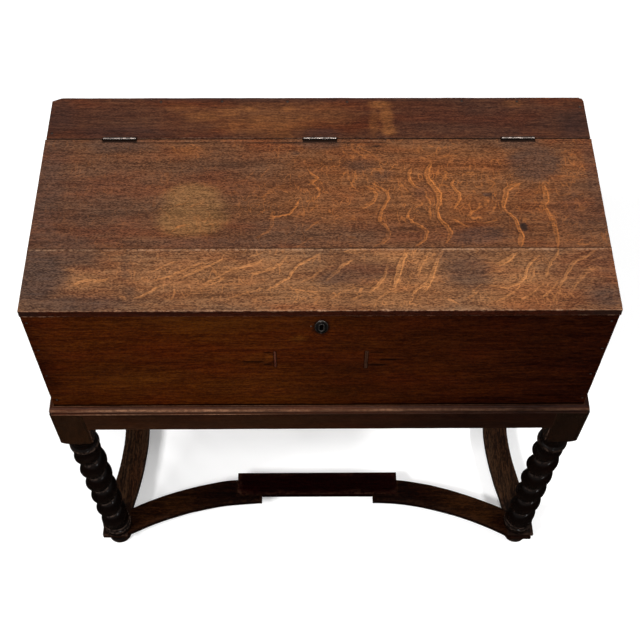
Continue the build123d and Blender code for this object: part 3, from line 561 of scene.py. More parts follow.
INSIDE = oak(
    "oak_inside", "x", (0.075, 0.043, 0.023), (0.125, 0.074, 0.040), (0.185, 0.113, 0.063), (8.4, 7.1, 0.9),
    rough=0.7, gloss=0.2, gold=None, line=None, rub=(0.22, 0.14, 0.09), patina=(0.75, 0.7, 0.65), bump=0.45,
    side=(0.030, 0.0120, 0.0055),
)
# top=1.0 lays a painted highlight along the top of each hinge knuckle
STEEL = metal("steel_hinge", (0.012, 0.009, 0.007), (0.50, 0.41, 0.36), (0.010, 0.006, 0.004), rough=0.36, worn=0.12, top=1.0, above=0.8320)
IRON = metal("iron_old", (0.085, 0.078, 0.072), (0.46, 0.43, 0.40), (0.035, 0.022, 0.016), rough=0.45, worn=0.8)
NAIL = metal("iron_nail", (0.016, 0.010, 0.007), (0.10, 0.075, 0.055), (0.014, 0.007, 0.004), rough=0.55, worn=0.4, metallic=0.5)
ESC = metal("iron_escutcheon", (0.010, 0.008, 0.007), (0.22, 0.195, 0.17), (0.007, 0.005, 0.004), rough=0.40, worn=0.7, metallic=0.8)


# ============================================================ marks on the top
# Ray flecks: board, width, strength and the line that each follows, in mm.
FLECKS = [
    ("R", 9, 1, [(169, 66), (163, 52), (162, 41), (165, 29), (172, 18), (178, 6), (177, -10), (173, -27)]),
    ("R", 6, 0.95, [(173, -27), (177, -42), (184, -52), (191, -64), (188, -75), (182, -84)]),
    ("R", 5, 0.8, [(138, 56), (134, 41), (136, 31), (141, 22), (150, 16)]),
    ("R", 4, 0.7, [(79, 26), (92, 17), (102, 7), (103, -3), (98, -12), (93, -23), (88, -38), (89, -47), (98, -56), (102, -63), (99, -74), (92, -84), (80, -91)]),
    ("R", 7, 0.55, [(100, -62), (97, -76), (88, -87)]),
    ("R", 5, 0.55, [(69, 21), (80, 14), (84, 5), (78, -9), (70, -16), (60, -22)]),
    ("R", 3.2, 0.7, [(-17, 53), (-11, 43), (-1, 37), (-12, 27), (-4, 20), (1, 11), (-2, 2), (-11, -8)]),
    ("R", 4, 0.6, [(-10, 0), (-11, -9)]),
    ("R", 3, 0.75, [(-29, -3), (-35, -15), (-45, -31), (-58, -34), (-74, -39)]),
    ("R", 5, 0.45, [(-70, -31), (-69, -52), (-75, -64)]),
    ("R", 3, 0.5, [(-71, -57), (-80, -67), (-90, -74)]),
    ("R", 9, 0.35, [(-71, 14), (-53, 22)]),
    ("R", 2.4, 0.4, [(-73, 11), (-87, 0)]),
    ("R", 2.2, 0.4, [(42, 59), (43, 37), (47, 23), (56, 12)]),
    ("R", 2.4, 0.35, [(54, 51), (55, 33)]),
    ("R", 2.4, 0.35, [(64, 53), (67, 39)]),
    ("R", 2.4, 0.3, [(70, 41), (73, 27)]),
    ("R", 2, 0.35, [(33, 93), (41, 84)]),
    ("R", 2.2, 0.4, [(50, 95), (71, 74)]),
    ("R", 2, 0.3, [(43, 98), (59, 85)]),
    ("R", 2, 0.3, [(60, 100), (83, 81)]),
    ("R", 2, 0.28, [(80, 83), (94, 70)]),
    ("R", 3.2, 0.5, [(120, 26), (130, 13)]),
    ("R", 3, 0.6, [(156, 15), (160, -3), (164, -15)]),
    ("R", 4.5, 0.75, [(135, -23), (129, -38), (136, -48), (148, -56), (157, -65), (152, -78), (138, -91)]),
    ("R", 2.4, 0.5, [(162, -20), (162, -42)]),
    ("R", 3.2, 0.5, [(-2, -44), (-11, -53), (-21, -64)]),
    ("R", 2.2, 0.4, [(-12, -75), (-27, -86), (-38, -96)]),
    ("R", 2.4, 0.3, [(44, -40), (51, -42)]),
    ("R", 2.4, 0.3, [(43, -74), (52, -75)]),
    ("R", 4, 0.35, [(60, -19), (73, -12)]),
    ("R", 6, 0.3, [(-4, -5), (-7, -17), (-14, -26)]),
    ("R", 3, 0.5, [(188, 52), (191, 46), (188, 40), (195, 35)]),
    ("R", 4.5, 0.7, [(202, 34), (197, 25), (201, 16), (207, 7), (207, -4), (202, -16), (199, -23)]),
    ("R", 8, 0.45, [(222, 46), (234, 46)]),
    ("R", 9, 0.35, [(251, 33), (260, 25), (251, 13)]),
    ("R", 6, 0.3, [(243, 2), (249, -12)]),
    ("R", 9, 0.85, [(300, 26), (288, 20), (279, 13), (276, -2), (271, -17), (271, -27)]),
    ("R", 5.5, 0.85, [(271, -25), (281, -34), (288, -47), (290, -59), (294, -73), (290, -88)]),
    ("R", 9, 0.6, [(292, -68), (289, -91)]),
    ("R", 10, 0.75, [(335, 24), (337, 10), (336, -10), (327, -20)]),
    ("R", 5, 0.7, [(328, -12), (334, -21), (339, -38), (341, -54), (344, -69), (344, -84), (343, -93)]),
    ("R", 3, 0.5, [(333, -19), (339, -31), (345, -46), (345, -59)]),
    ("R", 7, 0.5, [(343, -57), (344, -88)]),
    ("R", 3.2, 0.6, [(239, -16), (226, -27), (218, -36), (225, -40), (241, -40)]),
    ("R", 2.6, 0.5, [(197, -43), (206, -48), (215, -55)]),
    ("R", 2.4, 0.35, [(240, -50), (259, -45)]),
    ("R", 3, 0.4, [(393, -84), (384, -88), (371, -88)]),
    ("R", 2.6, 0.4, [(-216, -64), (-206, -55), (-193, -51)]),
    ("R", 2.2, 0.3, [(-212, -16), (-196, -10)]),
    ("R", 2.2, 0.25, [(-191, -18), (-175, -11)]),
    ("R", 2.4, 0.35, [(-111, 30), (-96, 53)]),
    ("R", 2.2, 0.3, [(-88, 37), (-75, 58)]),
    ("R", 2, 0.25, [(-131, 22), (-115, 34)]),
    ("R", 7, 0.25, [(-225, 101), (-218, 87)]),
    ("R", 3, 0.3, [(357, 1), (373, 5)]),
    ("R", 3, 0.25, [(363, -16), (385, -12)]),
    ("R", 4, 0.3, [(356, 40), (392, 36)]),
    ("R", 3, 0.3, [(177, 72), (193, 80), (212, 82)]),
    ("R", 3, 0.25, [(153, 78), (171, 72)]),
    ("R", 2.4, 0.35, [(251, -6), (242, -17)]),
    ("R", 2.2, 0.35, [(262, -12), (253, -29)]),
    ("F", 5, 0.7, [(394, -99), (380, -110), (364, -119), (355, -129), (347, -147), (334, -167)]),
    ("F", 6, 0.5, [(407, -130), (389, -132), (376, -140), (365, -153), (356, -164), (354, -174)]),
    ("F", 6, 0.4, [(393, -127), (374, -138)]),
    ("F", 4, 0.75, [(312, -109), (300, -122), (293, -134), (290, -147), (280, -157), (259, -164), (239, -160)]),
    ("F", 9, 0.7, [(280, -106), (271, -114), (260, -122), (253, -124)]),
    ("F", 4, 0.6, [(343, -95), (340, -106), (329, -121), (323, -132), (320, -145)]),
    ("F", 6, 0.8, [(176, -101), (167, -119), (159, -141), (153, -158), (145, -172)]),
    ("F", 6, 0.55, [(156, -105), (147, -117), (141, -130), (139, -140)]),
    ("F", 4, 0.5, [(175, -182), (183, -186), (190, -191)]),
    ("F", 4, 0.45, [(221, -170), (206, -180)]),
    ("F", 4, 0.55, [(-80, -112), (-93, -121), (-107, -127), (-125, -130)]),
    ("F", 4.5, 0.65, [(-48, -107), (-56, -121), (-69, -130), (-87, -137), (-100, -139)]),
    ("F", 4, 0.75, [(-2, -105), (-15, -114), (-30, -123), (-41, -137), (-47, -148), (-61, -157), (-75, -167)]),
    ("F", 5, 0.75, [(46, -115), (33, -123), (25, -133), (16, -143), (6, -152)]),
    ("F", 5, 0.65, [(95, -127), (90, -144), (82, -158), (68, -172)]),
    ("F", 9, 0.85, [(125, -101), (117, -116), (113, -131), (109, -148), (104, -164)]),
    ("F", 5, 0.6, [(154, -108), (143, -125), (139, -140)]),
    ("F", 5, 0.7, [(163, -127), (158, -142), (152, -154), (135, -167), (128, -176)]),
    ("F", 8, 0.5, [(33, -100), (66, -98)]),
    ("F", 7, 0.4, [(-37, -168), (-21, -172), (-2, -171)]),
    ("F", 5, 0.55, [(-347, -158), (-338, -152), (-330, -149), (-311, -151), (-298, -146)]),
    ("F", 3, 0.5, [(-233, -151), (-211, -142), (-188, -129), (-162, -117)]),
    ("F", 3.4, 0.6, [(-203, -150), (-181, -137), (-156, -123), (-135, -112)]),
    ("F", 3, 0.5, [(-258, -181), (-241, -171), (-226, -160)]),
    ("F", 3, 0.45, [(-162, -155), (-145, -145), (-128, -132)]),
    ("F", 3, 0.35, [(-241, -135), (-217, -123), (-200, -118)]),
    ("F", 2.6, 0.35, [(-175, -167), (-149, -155), (-131, -146)]),
    ("F", 2.6, 0.3, [(-133, -184), (-99, -170), (-82, -165)]),
    ("F", 2.6, 0.3, [(13, -184), (34, -169), (50, -164)]),
    ("F", 3, 0.4, [(77, -185), (94, -171), (111, -170)]),
    ("F", 3, 0.4, [(43, -185), (58, -176)]),
    ("F", 3, 0.45, [(250, -185), (268, -174), (282, -162)]),
    ("F", 3, 0.4, [(278, -187), (299, -172), (313, -158)]),
    ("F", 3, 0.4, [(308, -182), (327, -165), (338, -150)]),
    ("F", 3, 0.35, [(231, -144), (246, -137), (262, -134)]),
    ("F", 3, 0.3, [(209, -172), (230, -158)]),
    ("F", 3, 0.4, [(305, -130), (301, -144), (292, -157)]),
    ("F", 2.6, 0.35, [(385, -120), (399, -113), (411, -110)]),
    ("F", 2.4, 0.3, [(344, -169), (356, -181)]),
    ("F", 3, 0.3, [(-115, -118), (-98, -108), (-83, -103)]),
    ("F", 2.6, 0.3, [(-29, -155), (-12, -145), (2, -133)]),
    ("F", 5, 0.3, [(-366, -132), (-349, -133)]),
    ("F", 5, 0.35, [(-281, -178), (-271, -182)]),
]


def stroke_field(p, board_key):
    """For each point of the top: distance from the nearest ray fleck's line (mm, signed), its half width and its strength."""
    warp = np.stack([1.2 * fbm(p, 26, 41, 2), 1.2 * fbm(p, 26, 43, 2)], 1)
    q = p[:, :2] + warp
    fa, fw, fs = np.full(len(p), 40.0), np.full(len(p), 1.0), np.zeros(len(p))
    rank = np.full(len(p), 1e9)
    for key, width, strength, pts in FLECKS:
        if key != board_key:
            continue
        pts = np.array(pts, float)
        lo, hi = pts.min(0) - width - 7, pts.max(0) + width + 7
        near = np.nonzero(((q > lo) & (q < hi)).all(1))[0]
        if not len(near):
            continue
        seg = np.linalg.norm(np.diff(pts, axis=0), axis=1)
        total, run = seg.sum(), 0.0
        best = np.full(len(near), 1e9)
        sign, along_s = np.ones(len(near)), np.zeros(len(near))
        for a, b, length in zip(pts[:-1], pts[1:], seg):
            d = b - a
            w = q[near] - a
            t = np.clip((w @ d) / max(length * length, 1e-9), 0, 1)
            dist = np.linalg.norm(w - t[:, None] * d, axis=1)
            cross = d[0] * w[:, 1] - d[1] * w[:, 0]
            hit = dist < best
            best = np.where(hit, dist, best)
            sign = np.where(hit, np.where(cross >= 0, 1.0, -1.0), sign)
            along_s = np.where(hit, (run + t * length) / max(total, 1e-9), along_s)
            run += length
        half = 0.5 * width * (0.25 + 0.75 * np.sqrt(np.clip(np.sin(np.pi * np.clip(along_s, 0.01, 0.99)), 0, 1)))
        fade = step01(along_s, 0.0, 0.10) * (1 - step01(along_s, 0.90, 1.0)) * 0.6 + 0.4
        power = strength * fade * (1 - step01(best, half + 2.2, half + 5.0))
        better = (best - half < rank[near]) & (best < half + 6)
        k = near[better]
        rank[k] = (best - half)[better]
        fa[k] = (best * sign)[better]
        fw[k] = half[better]
        fs[k] = power[better]
    return {"fa": fa, "fw": fw, "fs": fs}


def blobs(p, items, seed):
    """Soft ellipses (x, y, rx, ry, turn in degrees, strength, softness) with ragged rims."""
    out = np.zeros(len(p))
    for k, (x, y, rx, ry, turn, strength, soft) in enumerate(items):
        c, s = math.cos(math.radians(turn)), math.sin(math.radians(turn))
        dx, dy = p[:, 0] - x, p[:, 1] - y
        u, v = (dx * c + dy * s) / rx, (-dx * s + dy * c) / ry
        ragged = 0.16 * soft * 2.2 * fbm(p, (min(rx, 60) * 0.5, min(ry, 40) * 0.5, 50), seed + k, 3)
        d = np.sqrt(u * u + v * v) + ragged
        out = np.maximum(out, strength * (1 - step01(d, 1 - soft, 1 + soft * 0.5)))
    return np.clip(out, 0, 1)


STAIN = [(-190, -41, 55, 34, 0, 0.68, 0.34), (-189, 3, 44, 26, 0, 0.70, 0.36), (-187, -18, 50, 28, 0, 0.66, 0.45)]
GOLD_REAR = [
    (60, 40, 130, 60, 0, 0.30, 0.8), (170, 20, 150, 85, 0, 0.36, 0.7), (120, -30, 90, 45, 0, 0.16, 0.8), (-40, 30, 80, 60, 0, 0.22, 0.8),
    (200, 85, 120, 22, -6, 0.30, 0.7), (262, 20, 22, 20, 0, 0.35, 0.6), (350, 20, 60, 60, 0, 0.24, 0.7),
    (-30, -5, 40, 25, 0, 0.22, 0.7), (-195, 92, 26, 14, 0, 0.30, 0.7), (20, 62, 60, 25, 0, 0.22, 0.7),
    (330, -20, 60, 50, 0, 0.15, 0.7), (385, 55, 26, 40, 0, 0.28, 0.6), (240, -30, 36, 30, 0, 0.16, 0.7), (288, 22, 20, 12, 0, 0.5, 0.7),
    (337, 12, 13, 20, 0, 0.5, 0.7), (-60, 6, 110, 46, 0, 0.30, 0.8), (6, -26, 80, 34, 0, 0.25, 0.8), (380, -70, 60, 20, 0, 0.25, 0.8),
]
DULL_REAR = [
    (327, 66, 43, 37, 0, 0.66, 0.35), (297, -56, 5.8, 8.2, 20, 1.0, 0.3), (230, -73, 45, 18, 4, 0.74, 0.5),
    (-150, -84, 230, 13, 0, 0.50, 0.7), (-370, -84, 60, 24, 0, 0.7, 0.6), (-404, 10, 44, 150, 0, 0.80, 0.8),
    (-306, 104, 60, 18, 0, 0.72, 0.7), (1, 106, 38, 13, 0, 0.6, 0.7), (306, 106, 34, 12, 0, 0.55, 0.7),
    (-140, 30, 120, 60, 0, 0.32, 0.7), (-330, -10, 130, 120, 0, 0.50, 0.8), (-60, -60, 90, 24, 0, 0.35, 0.7), (80, -70, 150, 22, 0, 0.28, 0.7),
    (249, 4, 9, 4, 0, 0.75, 0.6), (379, 3, 9, 5, 0, 0.6, 0.6), (-36, 86, 8, 4, 0, 0.5, 0.7), (96, 42, 16, 12, 0, 0.4, 0.7),
    (150, 10, 16, 18, 0, 0.35, 0.7), (388, -30, 50, 80, 0, 0.34, 0.8), (412, 20, 14, 120, 0, 0.45, 0.7), (60, 62, 26, 16, 0, 0.45, 0.7),
]
GOLD_FRONT = [
    (-150, -140, 150, 46, 4, 0.30, 0.8), (-60, -120, 60, 26, 0, 0.34, 0.7), (-230, -150, 60, 26, 12, 0.26, 0.7),
    (-30, -170, 90, 26, 0, 0.36, 0.8), (100, -170, 110, 26, 0, 0.40, 0.8), (155, -130, 28, 40, 0, 0.48, 0.7),
    (120, -110, 60, 13, 0, 0.5, 0.7), (300, -160, 70, 34, 0, 0.34, 0.7), (280, -118, 60, 22, 0, 0.26, 0.8),
    (255, -180, 60, 16, 0, 0.34, 0.7), (100, -187, 60, 14, 0, 0.45, 0.7), (-335, -152, 34, 16, 0, 0.34, 0.7), (370, -140, 30, 26, 0, 0.12, 0.7),
]
DULL_FRONT = [
    (46, -141, 56, 19, 10, 0.44, 0.5), (18, -147, 24, 13, 12, 0.58, 0.5), (208, -136, 38, 30, -8, 0.58, 0.5), (-404, -140, 52, 66, 0, 0.95, 0.5),
    (-365, -112, 62, 22, 0, 0.75, 0.7), (-345, -190, 90, 16, 0, 0.8, 0.6), (404, -178, 40, 24, 0, 0.75, 0.7),
    (-276, -128, 10, 26, 0, 0.34, 0.8), (-268, -168, 12, 12, 0, 0.45, 0.8), (178, -112, 14, 14, 0, 0.5, 0.7),
    (400, -120, 28, 30, 0, 0.4, 0.7), (-110, -112, 14, 6, 0, 0.35, 0.7), (380, -150, 70, 60, 0, 0.25, 0.9),
]
GOLD_FIXED = [
    (-216, 180, 26, 10, 0, 0.30, 0.8), (-176, 164, 36, 14, 0, 0.45, 0.8), (-139, 170, 24, 14, 0, 0.50, 0.8),
    (-111, 178, 22, 9, 0, 0.6, 0.8), (-92, 157, 22, 12, 0, 0.6, 0.8), (-50, 178, 20, 9, 0, 0.55, 0.8),
    (-70, 150, 90, 40, 0, 0.45, 0.9), (0, 165, 60, 30, 0, 0.28, 0.8), (96, 188, 20, 12, 0, 0.7, 0.7),
    (106, 160, 12, 26, 0, 0.8, 0.6), (86, 150, 9, 30, 0, 0.4, 0.7), (108, 133, 13, 12, 0, 0.75, 0.6), (306, 188, 18, 10, 0, 0.6, 0.7),
    (304, 165, 10, 10, 0, 0.3, 0.8),
]
DULL_FIXED = [
    (-404, 160, 40, 44, 0, 0.75, 0.7), (-306, 128, 90, 22, 0, 0.85, 0.7), (2, 125, 40, 14, 0, 0.7, 0.7),
    (300, 126, 50, 18, 0, 0.6, 0.7), (270, 155, 150, 50, 0, 0.5, 0.8), (400, 145, 34, 40, 0, 0.9, 0.7),
    (-150, 122, 90, 8, 0, 0.3, 0.8), (0, 200, 430, 7, 0, 0.6, 0.6), (-350, 165, 110, 40, 0, 0.35, 0.9),
]


SEAM = -94.8


def seam_wave(p):
    """The glue joint wanders a little along its length."""
    f = 0.45 * fbm(p * np.array([1, 0, 0]), (90, 1, 1), 71, 3)
    return f * np.exp(-(((p[:, 1] - SEAM) / 14.0) ** 2))


TOP_LAYER = 0.35


def lid_extra():
    ex = []
    for hx in (-306.0, 1.5, 306.5):
        for side in (-25.0, 25.0):
            ex += [hx + side, hx + side + math.copysign(0.02, side), hx + side + math.copysign(0.8, side)]
    return ex


HINGE_Y, HINGE_Z = 115.9, 830.3
HINGES = (-306.0, 1.5, 306.5)


def hinge_carve(face_y, sign):
    """Sinks the hinge leaves and knuckles into a board edge. sign is +1 where the board lies behind."""

    def carve(p0, p):
        for hx in HINGES:
            inside = np.abs(p0[:, 0] - hx) <= 25.001
            leaf = inside & (p0[:, 2] > 818.45) & (sign * (p0[:, 1] - face_y) < 1.2)
            p[leaf, 1] = face_y + sign * 1.22
            wide = np.abs(p0[:, 0] - hx) <= 25.81
            dy, dz = p[:, 1] - HINGE_Y, p[:, 2] - HINGE_Z
            dist = np.hypot(dy, dz)
            hit = wide & (dist < 2.8) & (p0[:, 2] > 818.45)
            scale = 2.8 / np.maximum(dist[hit], 0.05)
            p[hit, 1] = HINGE_Y + dy[hit] * scale
            p[hit, 2] = np.minimum(HINGE_Z + dz[hit] * scale, 830.0)
        return p

    return carve


def fillet(p0):
    """Where the narrow strip let in along the lid's rear edge shows its joint."""
    return step01(p0[:, 0], -292, -282) * (1 - step01(p0[:, 0], 96, 112)) * np.clip(0.85 + 0.4 * fbm(p0, (50, 900, 900), 317), 0, 1)


def lid_rear():
    lo, hi = (-420.0, SEAM, 816.3), (420.0, 115.2, 830.0)
    gains = hinge_carve(115.2, -1)

    def carve(p0, p):
        p = gains(p0, p)
        top = p0[:, 2] > 829.9
        run = fillet(p0)
        p[top, 2] -= (0.55 * run * np.exp(-(((p0[:, 1] - 107.9) / 0.55) ** 4)))[top]
        for hx in HINGES:
            gap = top & (np.abs(p0[:, 0] - hx) < 25.81) & (p0[:, 1] > 108.9) & (p0[:, 1] < 112.9)
            p[gap, 2] -= 1.1
        for x, y, rx, ry, deep in ((86.7, 100.3, 6.5, 2.0, 1.1), (92, 102, 3, 1.4, 0.9), (297, -56, 4, 5, 0.35),
                                   (249, 4, 7, 3, 0.2), (-63, 74, 5, 2.5, 0.2), (379, 3, 5, 4, 0.3)):
            d = ((p0[:, 0] - x) / rx) ** 2 + ((p0[:, 1] - y) / ry) ** 2
            p[top, 2] -= deep * np.exp(-d[top] * 1.4)
        return p

    def wear(p0, r):
        top = p0[:, 2] > 823
        end = np.abs(p0[:, 0]) > 412
        r = np.where(top & end, 0.9 + 0.6 * fbm(p0, (30, 24, 30), 12), r)
        back = top & (p0[:, 1] > 109)
        r = np.where(back, 0.55 + 0.3 * fbm(p0, 30, 14), r)
        seam = p0[:, 1] < SEAM + 4
        r = np.where(seam & top, 0.42 + 0.3 * fbm(p0, 26, 16), np.where(seam, 0.2, r))
        return r

    def paint(p0):
        top = p0[:, 2] > 828.5
        gold = np.where(top, blobs(p0, GOLD_REAR, 201), 0)
        stain = np.where(top, blobs(p0, STAIN, 221), 0)
        dull = np.where(top, blobs(p0, DULL_REAR, 301), 0)
        flecks = stroke_field(p0, "R")
        flecks["fs"] = np.where(top, flecks["fs"], 0) * (1 - 0.75 * dull)
        gold = gold * (1 - 0.8 * np.clip(dull * 1.3, 0, 1))
        under = (p0[:, 2] < 816.5).astype(float)
        ink = np.exp(-((((p0[:, 0] - 88) / 9) ** 2 + ((p0[:, 1] - 100.8) / 2.2) ** 2))) * top
        ink = np.maximum(ink, 0.75 * blobs(p0, [(297, -56, 5.8, 8.4, 15, 1.0, 0.4)], 311) * top)
        ink = np.maximum(ink, 0.95 * np.exp(-(((p0[:, 1] - SEAM) / 1.5) ** 2)) * np.clip(0.75 + 0.5 * fbm(p0, (60, 900, 900), 313), 0, 1))
        joint = fillet(p0)
        ink = np.maximum(ink, (0.9 - 0.55 * joint) * step01(p0[:, 1], 114.0, 115.1) * (p0[:, 2] > 817))
        ink = np.maximum(ink, 0.95 * joint * top * np.exp(-(((p0[:, 1] - 107.9) / 1.15) ** 4)))
        # painted shadow on the lid in front of each hinge knuckle
        for hx in HINGES:
            gap = (np.abs(p0[:, 0] - hx) < 26.5) & (p0[:, 1] > 108.4) & (p0[:, 1] < 115.0) & top
            ink = np.maximum(ink, 0.96 * gap)
        rubbed = 0.95 * joint * top * np.exp(-(((p0[:, 1] - 111.6) / 1.1) ** 2)) * np.clip(0.5 + 0.9 * fbm(p0, (40, 900, 900), 319), 0, 1)
        return {"gold": gold * (1 - stain), "dull": dull * (1 - under) * (1 - stain), "ink": ink, "stain": stain, "rubbed": rubbed, **flecks}

    def after(p0, p):
        p[:, 1] += seam_wave(p0)
        return p

    board(
        "lid_rear_plank", "lid_board_rear", "lid", TOP, lo, hi, (2.5, 3.0, 5.0), rim=(1.8, 1.8, 1.8),
        radius=0.8, seed=11, extra=(lid_extra() + around(88, 8) + around(297, 5), [115.2 - 1.22, 115.2 - 1.2, 106.9, 107.4, 107.9, 108.4, 108.88, 108.92, 111.6, 112.88, 112.92] + around(100.5, 3), [818.45, 818.5, 827.2]),
        carve=carve, wear=wear, paint=paint, after=after, swell=(0, 0, 0.10),
        raw=lambda q: (q[:, 2] < 816.5).astype(float),
    )


def lid_front():
    lo, hi = (-420.0, -202.5, 816.3), (420.0, SEAM, 830.0)
    rng = np.random.default_rng(5)
    chips = [(rng.uniform(-330, 330), rng.uniform(1.5, 6.5), rng.uniform(0.5, 1.9)) for _ in range(46)]

    def carve(p0, p):
        # recess for the lock's link plate
        inside = (np.abs(p0[:, 0]) <= 29.0) & (p0[:, 1] > -196.0) & (p0[:, 1] < -184.0) & (p0[:, 2] < 816.5)
        p[inside, 2] = 818.3
        top = p0[:, 2] > 829.9
        for k in range(60):
            x, y = rng_pits[k, 0], rng_pits[k, 1]
            d = ((p0[:, 0] - x) / rng_pits[k, 2]) ** 2 + ((p0[:, 1] - y) / 1.2) ** 2
            p[top, 2] -= 0.22 * np.exp(-d[top])
        return p

    rng_pits = np.stack([rng.uniform(-400, 400, 60), rng.uniform(-200, -100, 60), rng.uniform(1.5, 5, 60)], 1)

    def wear(p0, r):
        top = p0[:, 2] > 822
        front = p0[:, 1] < -196
        q = p0 * np.array([1, 0, 0])
        base = 1.15 + 0.75 * fbm(q, (55, 1, 1), 21, 3) + 0.5 * fbm(q, (7, 1, 1), 23, 2)
        for x, w, a in chips:
            base = base + a * np.exp(-(((p0[:, 0] - x) / w) ** 2))
        base = base + 0.3 * step01(np.abs(p0[:, 0]), 405, 420)
        r = np.where(top & front, base, r)
        r = np.where(front & ~top, 0.8 + 0.5 * fbm(q, (40, 1, 1), 25), r)
        seam = p0[:, 1] > SEAM - 4
        r = np.where(seam & top, 0.62 + 0.5 * fbm(q, (30, 1, 1), 27, 3), np.where(seam, 0.2, r))
        return r

    def paint(p0):
        top = p0[:, 2] > 828.5
        gold = np.where(top, blobs(p0, GOLD_FRONT, 401), 0)
        dull = np.where(top, blobs(p0, DULL_FRONT, 501), 0)
        flecks = stroke_field(p0, "F")
        flecks["fs"] = np.where(top, flecks["fs"], 0) * (1 - 0.6 * dull)
        gold = gold * (1 - 0.8 * np.clip(dull * 1.3, 0, 1))
        under = (p0[:, 2] < 816.5).astype(float)
        # painted highlight along this board's rear arris, beside the glue joint
        light = np.exp(-(((p0[:, 1] - SEAM + 1.9) / 1.5) ** 2)) * np.clip(0.66 + 0.6 * fbm(p0, (36, 900, 900), 523, 3), 0.25, 1)
        flank = (p0[:, 1] < -201.6) & (p0[:, 2] < 829.0)
        ink = flank * np.maximum(0.72 * step01(p0[:, 0], 320, 405), 0.6 * (1 - step01(p0[:, 0], -418, -370)))
        arris = np.maximum(1 - step01(p0[:, 0], -392, -335), 0.75 * step01(p0[:, 0], 346, 372)) * (p0[:, 1] < -201.5) * (p0[:, 2] < 817.9)
        ink = ink * (1 - arris)
        spared = 1 - 0.6 * (1 - step01(p0[:, 0], -310, -225)) * (p0[:, 1] < -198)
        return {"gold": gold, "dull": dull * (1 - under), "ink": ink, "rubbed": np.maximum(light * top, 0.55 * arris), "spared": spared, **flecks}

    def after(p0, p):
        p[:, 1] += seam_wave(p0)
        return p

    board(
        "lid_front_plank", "lid_board_front", "lid", TOP_FRONT, lo, hi, (2.5, 2.5, 5.0), rim=(1.8, 4.8, 4.8),
        radius=0.8, seed=31, extra=([-29.0, -29.02, 29.0, 29.02], [-196.0, -196.02, -184.0, -183.98], []),
        carve=carve, wear=wear, paint=paint, after=after, swell=(0, 0, 0.10),
        raw=lambda q: (q[:, 2] < 816.5).astype(float),
    )


TOP_NAILS = (
    (-248, 194.5), (-152, 195.5), (-49, 195.0), (45, 194.0), (226, 195.5), (313, 194.5), (411.5, 182.5), (-411.5, 128.5),
)


def fixed_top():
    lo, hi = (-418.7, 116.6, 816.0), (418.7, 202.6, 830.0)
    gains = hinge_carve(116.6, 1)

    def carve(p0, p):
        p = gains(p0, p)
        top = p0[:, 2] > 829.9
        for x, y in TOP_NAILS:
            d = np.hypot(p0[:, 0] - x, p0[:, 1] - y)
            p[top, 2] -= 0.7 * (1 - step01(d[top], 2.2, 3.6))
        return p

    def wear(p0, r):
        top = p0[:, 2] > 823
        q = p0 * np.array([1, 0, 0])
        back = p0[:, 1] > 196
        r = np.where(top & back, 1.1 + 0.7 * fbm(q, (36, 1, 1), 61, 3), r)
        front = p0[:, 1] < 121
        r = np.where(top & front, 0.6 + 0.35 * fbm(q, (50, 1, 1), 63, 2), r)
        corner = (p0[:, 0] > 413) & back
        r = np.where(corner, 4.0, r)
        return r

    def paint(p0):
        top = p0[:, 2] > 828.5
        gold = np.where(top, blobs(p0, GOLD_FIXED, 601), 0)
        dull = np.where(top, blobs(p0, DULL_FIXED, 701), 0)
        ink = (0.9 - 0.45 * fillet(p0)) * (1 - step01(p0[:, 1], 116.7, 117.6)) * (p0[:, 2] > 817)
        rubbed = 0.5 * fillet(p0) * top * np.exp(-(((p0[:, 1] - 118.3) / 0.9) ** 2)) * step01(p0[:, 0], -230, -200) * (1 - step01(p0[:, 0], -150, -40))
        for x, y in TOP_NAILS:
            d = np.hypot(p0[:, 0] - x, p0[:, 1] - y)
            ink = np.maximum(ink, np.where(top, 0.45 * (1 - step01(d, 1.8, 3.6)), 0))
        gold = gold * (1 - 0.8 * np.clip(dull * 1.3, 0, 1))
        return {"gold": gold, "dull": dull, "ink": ink, "rubbed": rubbed}

    def after(p0, p):
        # broken corner at the rear left
        n = np.array([-8.4, 18.5]) / math.hypot(8.4, 18.5)
        s = (p[:, :2] - np.array([-419.7, 194.8])) @ n
        s = s + 0.35 * fbm(p0, (4, 4, 4), 77, 2)
        hit = s > 0
        p[hit, :2] -= s[hit, None] * n
        return p

    ex, ey = [], []
    for x, y in TOP_NAILS:
        ex += around(x, 3.6)
    ey += around(195, 3.9) + around(182.5, 3.6) + around(128.5, 3.6)
    board(
        "fixed_top_plank", "fixed_top_board", "box", FIXED, lo, hi, (2.8, 3.0, 5.0), rim=(4.8, 4.8, 4.8),
        radius=0.8, seed=51, extra=(lid_extra() + ex, [116.6 + 1.2, 116.6 + 1.22] + ey, [818.45, 818.5, 827.2]),
        carve=carve, wear=wear, paint=paint, after=after, swell=(0, 0, 0.10),
        raw=lambda q: (q[:, 2] < 816.2).astype(float),
    )


lid_rear()
lid_front()
fixed_top()


# ============================================================ box
CORNER_Z = (577.0, 651.0, 724.0)


def corner_nails(sy):
    out = []
    for sx in (-1, 1):
        for i, z in enumerate((*CORNER_Z, 796.9 if sy < 0 else 779.0)):
            out.append((sx * (412.6 + (1.4 if (i + (sx > 0)) % 2 else -0.8)), z))
    return out


CRACKS = (
    (-84, -70.6, 717.4, 0.9), (-117, -83, 690.6, 1.6), (-85, -70.4, 683.2, 1.1),
    (72, 94, 717.6, 1.1), (88, 114, 696.3, 1.3), (71.5, 98, 682.1, 1.3),
)
SLIPS = {"left": (-66.9, 3.1, 676.0, 719.5), "right": (68.3, 4.4, 672.0, 721.0)}


